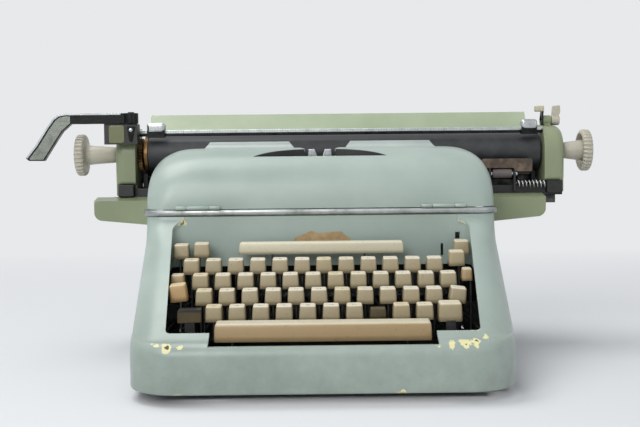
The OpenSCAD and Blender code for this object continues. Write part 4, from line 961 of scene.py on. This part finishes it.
# The flanges keep clear of the case's wall and of its front corners
FLANGE_INSET, FLANGE_START = 13.0, 15.0


def base_flanges():
    """Flat flanges beside the base plate, which close most of the floor of the case at both sides."""
    low, high = node_box("base_plate")
    shell_low, shell_high = node_box("lower_case")
    spans = [(shell_low[0] + FLANGE_INSET, low[0] + 1), (high[0] - 1, shell_high[0] - FLANGE_INSET)]
    parts = [box_form(x0, low[1] + FLANGE_START, low[2] + 0.2, x1, high[1], high[2] - 0.2)
             for x0, x1 in spans]
    made = piece("base_flanges", *gather(parts), "frame", "black_paint", BLACK_PAINT, False)
    soften(made, 0.3)


def shift_stump():
    """Brown remains of the lost cap under the left shift key's bare plate."""
    low, high = node_box("shift_left")
    top, front = high[2] - 0.4, low[1]
    corners = [(-10, -10.5), (9.5, -10), (9, 0), (-9.5, 0)]
    outline = rounded_outline([(SHIFT_LEFT_X + x, top + z) for x, z in corners], 1.2, 4)
    made = piece("shift_left_stump", *front_form(outline, front + 0.2, front + 7), "shift_left_body",
                 "black_paint", OLD_GLUE, False)
    soften(made, 0.6, 35, 3)


# Carriage: its middle, the inner face of an end plate from there, the platen's axis and shaft
CARRIAGE_X = 20.0
PLATE_IN, END_T, END_R = 198.5, 20.0, 25.0
PLATEN_Y, PLATEN_Z = 256.0, 193.0
SHAFT_BORE = 4.06
# The end plates' foot blocks: front, back and underside
BLOCK_FRONT, BLOCK_BACK, BLOCK_LOW = 238.0, 274.0, 153.0
EAR_R, EAR_T, EAR_PLAY = 5.0, 8.0, 0.4
PIN_R, PIN_BORE = 2.0, 2.06
EARS = [(284.0, 199.0), (272.0, 214.0)]
TAB_EAR, TAB_EAR_IN = (260.0, 223.0), 4.0
# Knobs: the side, how far the disc stands out from the end plate, the node, whether it is hollow
KNOBS = [(-1, 31.5, "knob_left", False), (1, 19.5, "knob_right", True)]


def out_from(side, d):
    """Place across the machine at a distance from the carriage's middle, on one side."""
    return CARRIAGE_X + side * d


def end_plate(side, name):
    """Deep pressed end cover, round about the platen's axis, with a domed face and pivot ears behind."""
    foot = 164.0
    dome, drop, steps = 9.0, 7.0, 8
    rows = [(0.0, 0.7), (0.7, 0.0), (END_T - dome, 0.0)]
    rows += [(END_T - dome + dome * math.sin(math.radians(90 * k / steps)),
              drop * (1 - math.cos(math.radians(90 * k / steps)))) for k in range(1, steps + 1)]
    points = []
    for d, inset in rows:
        r = END_R - inset
        outline = arc(PLATEN_Y, PLATEN_Z, r, r, 0, 28, 180)
        outline += [(PLATEN_Y - r, foot + 3), (PLATEN_Y - r + 0.9, foot + 0.9), (PLATEN_Y - r + 3, foot)]
        outline += [(PLATEN_Y + r - 3, foot), (PLATEN_Y + r - 0.9, foot + 0.9), (PLATEN_Y + r, foot + 3)]
        points += [(out_from(side, PLATE_IN + d), y, z) for y, z in outline]
    n = len(points) // len(rows)
    faces = strip_faces(n, len(rows), True) + end_faces(n, len(rows))
    made = piece(name + "_cover", points, faces if side > 0 else flipped(faces), "carriage",
                 "olive_enamel", OLIVE_ENAMEL)
    reach = [(out_from(side, d), SHAFT_BORE) for d in (PLATE_IN - CUT_OVER, PLATE_IN + END_T + CUT_OVER)]
    carve(made, name + "_bore", *turned(reach, PLATEN_Y, PLATEN_Z, 40))
    soften(made, 0.3, 50, 2)
    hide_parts(name)
    ears = EARS + ([TAB_EAR] if side > 0 else [])
    parts = [span_form(*sorted_x(side, PLATE_IN, PLATE_IN + END_T), BLOCK_FRONT, BLOCK_LOW,
                       BLOCK_BACK, foot + 0.5)]
    for y, z in ears:
        start = PLATE_IN + (TAB_EAR_IN if (y, z) == TAB_EAR else 0)
        ring = [(0, PIN_BORE), (0, EAR_R - 0.5), (0.5, EAR_R), (EAR_T - 0.5, EAR_R), (EAR_T, EAR_R - 0.5),
                (EAR_T, PIN_BORE)]
        parts.append(turned([(out_from(side, start + d), r) for d, r in ring], y, z, 32, True))
        web = PLATEN_Y + 8 if y - EAR_R > PLATEN_Y + 8 else y - EAR_R
        parts.append(span_form(*sorted_x(side, start + 1, start + EAR_T - 1), web, z - 8, y, z - 3))
    ear = piece(name + "_ears", *gather(parts), "carriage", "olive_enamel", OLIVE_ENAMEL, False)
    soften(ear, 0.3, 50, 1)


def platen_knob(side, neck, name, hollow):
    """Platen knob: a ribbed, rounded disc on a tapered neck. A hollow one is cupped round its neck."""
    thick, r = 10.5, 20.5
    rows = [(0.4, 7.2), (0.7, 7.5), (neck - 6, 9.2)]
    if hollow:
        rows += [(neck + 2, 10.2), (neck + 5, 10.8), (neck + 6, 12.0), (neck + 6, 14.6), (neck + 5.2, 15.6),
                 (neck + 1, 16.2), (neck + 0.2, 17.0)]
    else:
        rows += [(neck - 1.2, 10.0), (neck - 0.2, 11.2), (neck + 0.1, 13.5), (neck + 0.5, 16.5)]
    start = len(rows)
    rows += [(neck + 0.9, 18.8), (neck + 1.8, 20.0), (neck + 3, r), (neck + thick - 3, r),
             (neck + thick - 1.8, 20.0), (neck + thick - 0.9, 18.8)]
    stop = len(rows)
    rows += [(neck + thick - 0.3, 16.5), (neck + thick - 0.1, 13.0), (neck + thick - 1.0, 11.5),
             (neck + thick - 1.0, 0.5)]
    ribs, depth = 30, 1.4

    def groove(row, a):
        return depth * min(1.0, max(0.0, 0.4 + 1.1 * math.cos(ribs * a))) if start <= row < stop else 0.0

    profile = [(out_from(side, PLATE_IN + END_T + d), radius) for d, radius in rows]
    made = piece(name + "_moulding", *turned(profile, PLATEN_Y, PLATEN_Z, 240, False, groove), "platen_set",
                 "ivory_plastic", KNOB_PLASTIC)
    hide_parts(name)


def sorted_x(side, near, far):
    """The ends of a block across the machine, lower first, from two distances on one side."""
    return sorted((out_from(side, near), out_from(side, far)))


BAIL_Y, BAIL_Z, BAIL_PIVOT = 240.0, 213.5, (272.0, 214.0)
ARM_OUT, ARM_T = 198.1, 1.2
# Its blocks: the side, and how far their two ends stand inside the end plate
BAIL_BLOCKS = [(-1, 28.5, 10.5), (1, 22, 6)]
# Ticks, and their lengths by place: plain, every fifth, every tenth
TICK_STEP, TICK_HALF_W, TICK_COUNT = 2.54, 0.15, 66
PLAIN_TICK, FIFTH_TICK, TENTH_TICK = 1.2, 1.9, 2.6


def paper_bail():
    """Paper bail: a satin scale bar with its ticks over a dark bar painted as its shadow, thin arms, pivot
    pins, and at each end a rounded block, bright above and painted dark below as shade."""
    ends = sorted_x(1, -ARM_OUT, ARM_OUT)
    bar = rounded_outline([(BAIL_Y - 1, BAIL_Z - 0.4), (BAIL_Y + 1, BAIL_Z - 0.4),
                           (BAIL_Y + 1, BAIL_Z + 3), (BAIL_Y - 1, BAIL_Z + 3)], 0.6, 3)
    made = piece("bail_bar", *side_form(bar, *ends), "bail_scale_body", "bright_steel", SCALE_METAL, False)
    soften(made, 0.2)
    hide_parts("bail_scale")
    arm = rounded_outline([(BAIL_Y - 1, BAIL_Z - 3), (BAIL_PIVOT[0] + 3, BAIL_PIVOT[1] - 3),
                           (BAIL_PIVOT[0] + 3, BAIL_PIVOT[1] + 3), (BAIL_Y - 1, BAIL_Z + 3)], 2.0, 4)
    # Painted shadow: a dark bar under the scale bar, standing for the shadow it casts on the platen
    under = rounded_outline([(BAIL_Y - 0.8, BAIL_Z - 3), (BAIL_Y + 1, BAIL_Z - 3), (BAIL_Y + 1, BAIL_Z),
                             (BAIL_Y - 0.8, BAIL_Z)], 0.6, 3)
    arms, blocks = [side_form(under, *ends)], []
    for side, near, far in BAIL_BLOCKS:
        arms.append(side_form(arm, *sorted_x(side, ARM_OUT - ARM_T, ARM_OUT)))
        arms.append(turned([(out_from(side, d), PIN_R) for d in (ARM_OUT - 1, PLATE_IN + EAR_T)],
                           *BAIL_PIVOT, 32))
        blocks.append(span_form(*sorted_x(side, PLATE_IN - near, PLATE_IN - far),
                                BAIL_Y - 6, BAIL_Z + 0.5, BAIL_Y + 5, BAIL_Z + 10.3))
        # Painted shade: the dark lower part of each block, under its bright upper part
        arms.append(span_form(*sorted_x(side, PLATE_IN - near + 0.5, PLATE_IN - far - 0.5),
                              BAIL_Y - 5, BAIL_Z - 4.2, BAIL_Y + 4, BAIL_Z + 3))
    held = piece("bail_arms_and_painted_shade", *gather(arms), "bail_scale_body", "bright_steel", DARK_CHROME_AND_SHADE, False)
    soften(held, 0.2)
    bright = piece("bail_blocks", *gather(blocks), "bail_scale_body", "bright_steel", BRIGHT_STEEL)
    soften(bright, 3.2, 35, 5)
    ticks = []
    top = BAIL_Z + TENTH_TICK
    for i in range(-TICK_COUNT, TICK_COUNT + 1):
        high = TENTH_TICK if i % 10 == 0 else FIFTH_TICK if i % 5 == 0 else PLAIN_TICK
        x = CARRIAGE_X + i * TICK_STEP
        ticks.append(box_form(x - TICK_HALF_W, BAIL_Y - 1.04, top - high,
                              x + TICK_HALF_W, BAIL_Y - 0.9, top))
    piece("scale_ticks", *gather(ticks), "bail_scale_body", "black_paint", LEGEND_INK, False)


def release_levers():
    """The right end plate's two levers: a tapered ivory paddle outside, a tab on a bracket inside."""
    y, z = TAB_EAR
    x = out_from(1, PLATE_IN + TAB_EAR_IN + EAR_T + EAR_PLAY)
    paddle = rounded_outline([(x + 0.3, z), (x + 5.5, z), (x + 9.0, z + 8), (x + 8.6, z + 15),
                              (x + 1.2, z + 14.2), (x + 0.6, z + 7)], 1.4, 4)
    parts = [front_form(paddle, y - 3, y + 1),
             turned([(x, 4.6), (x + 0.4, EAR_R), (x + 7.5, EAR_R), (x + 8, 4.5)], y, z, 40),
             turned([(x - 3.5, PIN_R), (x + 1, PIN_R)], y, z, 24)]
    made = piece("paper_release_paddle", *gather(parts), "paper_release_lever_body", "ivory_plastic",
                 KNOB_PLASTIC, False)
    soften(made, 0.7, 50, 3)
    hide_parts("paper_release_lever")
    thick = 1.5
    x = out_from(1, PLATE_IN + TAB_EAR_IN - EAR_PLAY - thick)
    web = rounded_outline([(y - 5, z), (y + 5, z), (y, z + 12), (y - 10, z + 12)], 1.2, 3)
    parts = [side_form(web, x, x + thick), turned([(x, EAR_R), (x + thick, EAR_R)], y, z, 40),
             turned([(x, PIN_R), (x + thick + 4, PIN_R)], y, z, 24)]
    bracket = piece("carriage_release_bracket", *gather(parts), "carriage_release_lever_body",
                    "black_paint", BLACK_PAINT, False)
    soften(bracket, 0.2, 50, 1)
    tab = piece("carriage_release_tab",
                *box_form(x + thick - 8.4, y - 11, z + 8.5, x + thick, y - 1, z + 14.5),
                "carriage_release_lever_body", "ivory_plastic", TAB_PLASTIC)
    soften(tab, 1.4, 35, 4)
    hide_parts("carriage_release_lever")


def rivet_head(x, y, z, r):
    """A domed rivet head on a front face, round an axis along Y."""
    rows = [(0.3, r), (-0.3, 0.95 * r), (-0.7, 0.7 * r), (-0.9, 0.35 * r)]
    sides = 24
    points = [(x + b * math.cos(2 * math.pi * i / sides), y + a, z + b * math.sin(2 * math.pi * i / sides))
              for a, b in rows for i in range(sides)]
    return points, strip_faces(sides, len(rows), True) + end_faces(sides, len(rows))


# How far a thin plate reaches into the solid that holds it
HELD_IN = 0.4


def housing_cover():
    """Front of the line-space housing: an olive cover plate, a dark claw beside it with a bright rivet, and
    the dark deck above them."""
    low, high = node_box("line_space_housing")
    front = low[1]
    left, right = low[0] + 4.5, low[0] + 19.5
    outline = rounded_outline([(left, low[2] + 1), (right, low[2] + 1), (right, low[2] + 18),
                               (left, low[2] + 18)], 2.6, 5)
    made = piece("housing_cover", *front_form(outline, front - 1.0, front + HELD_IN), "carriage",
                 "olive_enamel", HOUSING_ENAMEL, False)
    soften(made, 0.7, 35, 3)
    deck = box_form(low[0], low[1], low[2] + 18.4, high[0], low[1] + 15, low[2] + 19.5)
    x, z = low[0] + 21, low[2]
    claw = rounded_outline([(x + 3.4, z + 2.5), (x + 5.6, z + 2.5), (x + 8.6, z + 17), (x + 0.8, z + 17)],
                           0.9, 3)
    made = piece("line_space_claw", *gather([front_form(claw, front - 1.6, front + HELD_IN), deck]),
                 "carriage", "black_paint", DARK_CHROME_AND_SHADE, False)
    soften(made, 0.4)
    rivet = rivet_head(x + 4.7, front - 1.4, z + 13.5, 2.0)
    made = piece("line_space_rivet", *rivet, "carriage", "bright_steel", BRIGHT_STEEL)
    soften(made, 0.3)


# Return lever: its arm's height, how far back its front face lies in its box, and its hub's width
ARM_H, ARM_FACE, HUB_W = 10.0, 3.0, 16.0


def lever_trim():
    """Front of the return lever: a bright strip along its outer edge as a painted highlight, and a dulled
    face on its paddle.
    """
    low, high = node_box("return_lever")
    foot, front = high[2] - ARM_H, low[1] + ARM_FACE
    arm = high[0] - low[0] - HUB_W
    # Painted highlight: a bright strip where the lever's outer edge catches the light
    outer = [(arm, ARM_H), (37.5, ARM_H), (31.5, 8.7), (27, 5.2), (21, -3.1), (10, -19.8), (0.5, -31.8)]
    inner = [(2.3, -32.4), (11.5, -20.8), (22.4, -4.0), (28.3, 4.0), (32.5, 7.1), (38, 8.3), (arm, 8.3)]
    highlight_outline = [(low[0] + x, foot + z) for x, z in outer + inner]
    made = piece("return_lever_painted_highlight", *front_form(highlight_outline, front - 1.4, front + 0.3), "return_lever_body",
                 "bright_steel", BRIGHT_STEEL, False)
    soften(made, 0.3)
    face = [(4.2, -33.9), (16.9, -34.1), (28.2, -16.6), (35.2, -6.3), (43.5, 0.9), (43.5, 7.4), (38, 7.4),
            (32.8, 6.2), (29, 3.2), (23.2, -4.7), (12.4, -21.4), (3.6, -32.4)]
    face = [(low[0] + x, foot + z) for x, z in face]
    made = piece("return_lever_face", *front_form(face, front - 0.4, front + 0.3), "return_lever_body",
                 "bright_steel", DULL_CHROME, False)
    soften(made, 0.25)


# Stop plate: its height above the bed's lip, and the nuts on the roller's pin, each a place from its left
# end, a radius and a thickness
STOP_H = 15.5
STOP_NUTS = [(5.0, 2.6, 1.9), (33.1, 2.6, 1.9), (9.2, 2.4, 1.5), (29.3, 2.4, 1.5)]


def stop_face():
    """Rusted face of the stop plate, in front of the roller's ears, and the nuts on the roller's pin."""
    low, high = node_box("stop_plate")
    left, top, foot = low[0], high[2], high[2] - STOP_H
    outline = rounded_outline([(left, foot + 6.5), (left + 31, foot + 6.5), (left + 33.5, foot + 3),
                               (left + 49, foot + 3), (left + 49, top), (left, top)], 2.0, 4)
    made = piece("stop_plate_face", *front_form(outline, high[1] - 5.8, high[1] - 4.9), "carriage",
                 "rusted_steel", RUSTED_STEEL, False)
    soften(made, 0.2)
    nuts = []
    for a, r, thick in STOP_NUTS:
        profile = [(0, r - 0.4), (0.3, r), (thick - 0.3, r), (thick, r - 0.4)]
        nuts.append(turned([(left + a + d, radius) for d, radius in profile], high[1] - 2, foot + 1, 24))
    made = piece("stop_plate_nuts", *gather(nuts), "side_roller_body", "bright_steel", BRIGHT_STEEL, False)
    soften(made, 0.15)


def release_spring():
    """Coil spring between the stop plate and the right end plate: one round wire."""
    low, high = node_box("release_spring")
    wire, turns, sides, per_turn = 0.65, 8, 10, 28
    y, z = (low[1] + high[1]) / 2, (low[2] + high[2]) / 2
    coil = (high[2] - low[2]) / 2 - wire
    total = turns * per_turn
    line = [Vector((low[0] + wire + (high[0] - low[0] - 2 * wire) * i / total,
                    y + coil * math.cos(2 * math.pi * i / per_turn),
                    z + coil * math.sin(2 * math.pi * i / per_turn))) for i in range(total + 1)]
    points = []
    for i, p in enumerate(line):
        run = (line[min(total, i + 1)] - line[max(0, i - 1)]).normalized()
        out = Vector((0, p.y - y, p.z - z)).normalized()
        over = run.cross(out).normalized()
        points += [tuple(p + wire * (out * math.cos(2 * math.pi * k / sides)
                                     + over * math.sin(2 * math.pi * k / sides)))
                   for k in range(sides)]
    faces = strip_faces(sides, total + 1, True) + end_faces(sides, total + 1)
    made = piece("release_spring_wire", points, flipped(faces), "carriage", "works_steel", BRIGHT_STEEL)
    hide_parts("release_spring")


def ribbon():
    """Inked ribbon: a woven band from spool to spool, straight across the type guide."""
    low, high = node_box("ribbon")
    guide_half, edge = 20, 0.3
    guide_y, spool_y = high[1] - edge, low[1] + edge
    count, rows = 60, 6
    points = []
    for k in range(rows):
        z = low[2] + (high[2] - low[2]) * k / (rows - 1)
        for i in range(count + 1):
            x = low[0] + (high[0] - low[0]) * i / count
            run = ramp((abs(x) - guide_half) / (high[0] - guide_half))
            y = guide_y + (spool_y - guide_y) * run
            points.append((x, y, z))
    made = piece("ribbon_band", points, strip_faces(count + 1, rows, False), "frame", "ribbon_cloth",
                 RIBBON_CLOTH)
    thick = made.modifiers.new("thick", "SOLIDIFY")
    thick.thickness = 0.4 * MM
    thick.offset = 0
    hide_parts("ribbon")


def label_patch():
    """What is left of a torn paper label on the panel above the tabulator bar."""
    torn = [(-24, 114), (-23.5, 117), (-17, 119.5), (-10, 123), (-7, 122.6), (-3, 121.2), (3, 121.8),
            (9, 121.6), (13, 122.4), (18, 122.2), (22, 119), (26, 116.6), (26.5, 114)]
    dice_edge, fray, steps = random.Random(11), 0.25, 4
    outline = []
    for (x0, z0), (x1, z1) in zip(torn, torn[1:]):
        outline += [(x0 + (x1 - x0) * i / steps, z0 + (z1 - z0) * i / steps + dice_edge.uniform(-fray, fray))
                    for i in range(steps)]
    outline.append(torn[-1])
    flat_points, faces = prism(outline, 0, 0.15)
    points = [(x, PANEL_FACE - 0.05 - y, z) for x, z, y in flat_points]
    piece("label_remains", points, faces, "frame", "case_enamel", LABEL_PAPER, False)


# Solids that stay: their finish, and the width in millimetres by which their edges are rounded
STAY = {"back_panel": (CASE_ENAMEL, 0.4), "rail_cover_left": (OLIVE_ENAMEL, 0.8),
        "rail_cover_right": (OLIVE_ENAMEL, 0.8), "chassis": (BLACK_PAINT, 0.3), "feet": (FOOT_RUBBER, 0.8),
        "base_plate": (BLACK_PAINT, 0.3), "key_fulcrum": (WORKS_STEEL, 0.3), "key_comb": (WORKS_STEEL, 0.2),
        "type_guide": (BRIGHT_STEEL, 0.5), "carriage_rail": (WORKS_STEEL, 0.5),
        "hood_hinge_pins": (TRIM_METAL, 0.1), "mainspring_drum": (WORKS_STEEL, 0.6),
        "spool_left": (WORKS_STEEL, 0.3), "spool_right": (WORKS_STEEL, 0.3),
        "type_segment": (WORKS_STEEL, 0.6), "typebars": (WORKS_STEEL, 0.15),
        "carriage_bed": (BLACK_PAINT, 0.6), "paper_pan": (WORKS_STEEL, 0.3),
        "stop_plate": (BLACK_PAINT, 0.4), "margin_rack": (WORKS_STEEL, 0.25),
        "line_space_housing": (BLACK_PAINT, 0.8), "platen": (PLATEN_RUBBER, 0.8),
        "platen_shaft": (BRIGHT_STEEL, 0.5), "ratchet_wheel": (BROWN_BRASS, 0.2),
        "return_lever": (DARK_CHROME_AND_SHADE, 0.4), "paper_table": (TABLE_ENAMEL, 0.5),
        "feed_roller": (PLATEN_RUBBER, 0.5), "side_roller": (ROLLER_RUBBER, 0.8),
        "margin_stop_left": (BRIGHT_STEEL, 0.6), "margin_stop_right": (BRIGHT_STEEL, 0.6),
        "shift_left": (BLACK_PAINT, 0.3)}


def dress(name):
    """Gives a solid that stays its finish and rounds its edges."""
    finish_of, width = STAY[name]
    made = nodes[name]
    made.data.materials.clear()
    made.data.materials.append(finish_of)
    made.data.polygons.foreach_set("material_index", [0] * len(made.data.polygons))
    soften(made, width)


# Stage
CAMERA_AT = (-6.3, -791.8, 191.7)
YAW, PITCH, ROLL = math.radians(0.338), math.radians(3.229), math.radians(0.594)
FOCAL_PX, PHOTO_W, SENSOR = 1052.9, 640, 36.0
# Studio, in metres: the floor's half width and front edge, the bend behind it, the backdrop's top
FLOOR_HALF, FLOOR_FRONT = 5.0, -3.0
BEND_Y, BEND_R = 1.6, 0.9
BACKDROP_TOP = 4.0
# Between these two depths the paper comes to be lit evenly
EVEN_FROM, EVEN_TO = 0.1, 1.1
# The world's strength as it lights the machine, and as it is seen
WORLD_LIGHT, WORLD_SEEN = 0.52, 0.87
# Lamps: place in metres, size in metres, power in watts
LAMP_AIM = (0, 0, 0.1)
LAMPS = {"key_lamp": ((-0.8, -2.0, 1.25), 1.3, 28), "top_lamp": ((-0.6, 0.1, 1.8), 1.2, 18),
         "fill_lamp": ((1.4, -1.2, 0.6), 1.2, 2)}


def camera():
    """The camera of the photograph: its place and turn in the machine's frame."""
    ahead = Vector((math.sin(YAW) * math.cos(PITCH), math.cos(YAW) * math.cos(PITCH), -math.sin(PITCH)))
    right = Vector((math.cos(YAW), -math.sin(YAW), 0))
    down = ahead.cross(right)
    image_right = right * math.cos(ROLL) + down * math.sin(ROLL)
    image_down = down * math.cos(ROLL) - right * math.sin(ROLL)
    turn = Matrix((image_right, -image_down, -ahead)).transposed()
    lens = bpy.data.cameras.new("studio_camera")
    lens.sensor_width = SENSOR
    lens.lens = FOCAL_PX * SENSOR / PHOTO_W
    lens.clip_start = 0.01
    seat = bpy.data.objects.new("studio_camera", lens)
    seat.matrix_world = Matrix.Translation(at(*CAMERA_AT)) @ turn.to_4x4()
    bpy.context.scene.collection.objects.link(seat)
    bpy.context.scene.camera = seat


def lamp(name, place, size, power):
    """A soft square lamp at a place, facing the machine."""
    light = bpy.data.lights.new(name, "AREA")
    light.size = size
    light.energy = power
    made = bpy.data.objects.new(name, light)
    made.location = place
    made.rotation_euler = (Vector(LAMP_AIM) - Vector(place)).to_track_quat("-Z", "Y").to_euler()
    bpy.context.scene.collection.objects.link(made)


def seen_directly(tree):
    """One for rays from the camera, in mirrors and through glass, nought for those that only bring light."""
    rays = add(tree, "LightPath")
    mirrored = add(tree, "Math", {0: rays.outputs["Is Camera Ray"], 1: rays.outputs["Is Glossy Ray"]},
                   operation="ADD")
    seen = add(tree, "Math", {0: mirrored.outputs[0], 1: rays.outputs["Is Transmission Ray"]},
               operation="ADD", use_clamp=True)
    return seen.outputs[0]


def backdrop():
    """Pale studio paper: a floor that runs up into a backdrop behind the machine."""
    mesh = bpy.data.meshes.new("floor")
    bend = [(FLOOR_FRONT, 0.0)] + arc(BEND_Y, BEND_R, BEND_R, BEND_R, -90, 10)
    bend.append((BEND_Y + BEND_R, BACKDROP_TOP))
    mesh.from_pydata([(x, y, z) for y, z in bend for x in (-FLOOR_HALF, FLOOR_HALF)], [],
                     [(2 * i, 2 * i + 1, 2 * i + 3, 2 * i + 2) for i in range(len(bend) - 1)])
    mesh.polygons.foreach_set("use_smooth", [True] * len(mesh.polygons))
    floor = bpy.data.objects.new("floor", mesh)
    bpy.context.scene.collection.objects.link(floor)
    paper, tree, shader, place = finish("white_studio_paper")
    clouds = add(tree, "TexNoise", {"Vector": place, "Scale": 1.2, "Detail": 2.0})
    tone = add(tree, "Mix", {0: clouds.outputs["Fac"], 6: linear("#d6d8da"), 7: linear("#dcdee0")},
               data_type="RGBA")
    tree.links.new(tone.outputs[2], shader.inputs["Base Color"])
    shader.inputs["Roughness"].default_value = 0.85
    # The far paper is lit as brightly as the near, for the camera and in reflections alone
    depth = add(tree, "SeparateXYZ", {0: place})
    far = add(tree, "MapRange", {"Value": depth.outputs["Y"], "From Min": EVEN_FROM, "From Max": EVEN_TO})
    share = add(tree, "Math", {0: far.outputs["Result"], 1: seen_directly(tree)}, operation="MULTIPLY")
    glow = add(tree, "Emission", {"Color": linear("#e7e9eb")})
    lit = add(tree, "MixShader", {0: share.outputs[0], 1: shader.outputs[0], 2: glow.outputs[0]})
    tree.links.new(lit.outputs[0], tree.nodes["Material Output"].inputs["Surface"])
    mesh.materials.append(paper)


def lighting():
    """A white world that lights the machine softly and shows as pale as the paper where a view looks past
    the backdrop, and soft lamps from the left front, above and the right."""
    world = bpy.data.worlds.new("studio")
    bpy.context.scene.world = world
    world.use_nodes = True
    tree = world.node_tree
    background = tree.nodes["Background"]
    background.inputs["Color"].default_value = linear("#f2f4f8")
    strength = add(tree, "MapRange",
                   {"Value": seen_directly(tree), "To Min": WORLD_LIGHT, "To Max": WORLD_SEEN})
    tree.links.new(strength.outputs[0], background.inputs["Strength"])
    for name, setting in LAMPS.items():
        lamp(name, *setting)


lower_case()
trim_strip()
hood()
for group in LETTERS:
    key_group(group)
for entry in SINGLE_KEYS:
    single_key(*entry)
for entry in LONG_BARS:
    long_bar(*entry)
shift_right()
end_plate(-1, "end_plate_left")
end_plate(1, "end_plate_right")
for entry in KNOBS:
    platen_knob(*entry)
paper_bail()
release_levers()
housing_cover()
lever_trim()
stop_face()
base_flanges()
shift_stump()
release_spring()
ribbon()
label_patch()
for name in STAY:
    dress(name)
camera()
backdrop()
lighting()

bpy.context.scene.view_settings.view_transform = "Standard"
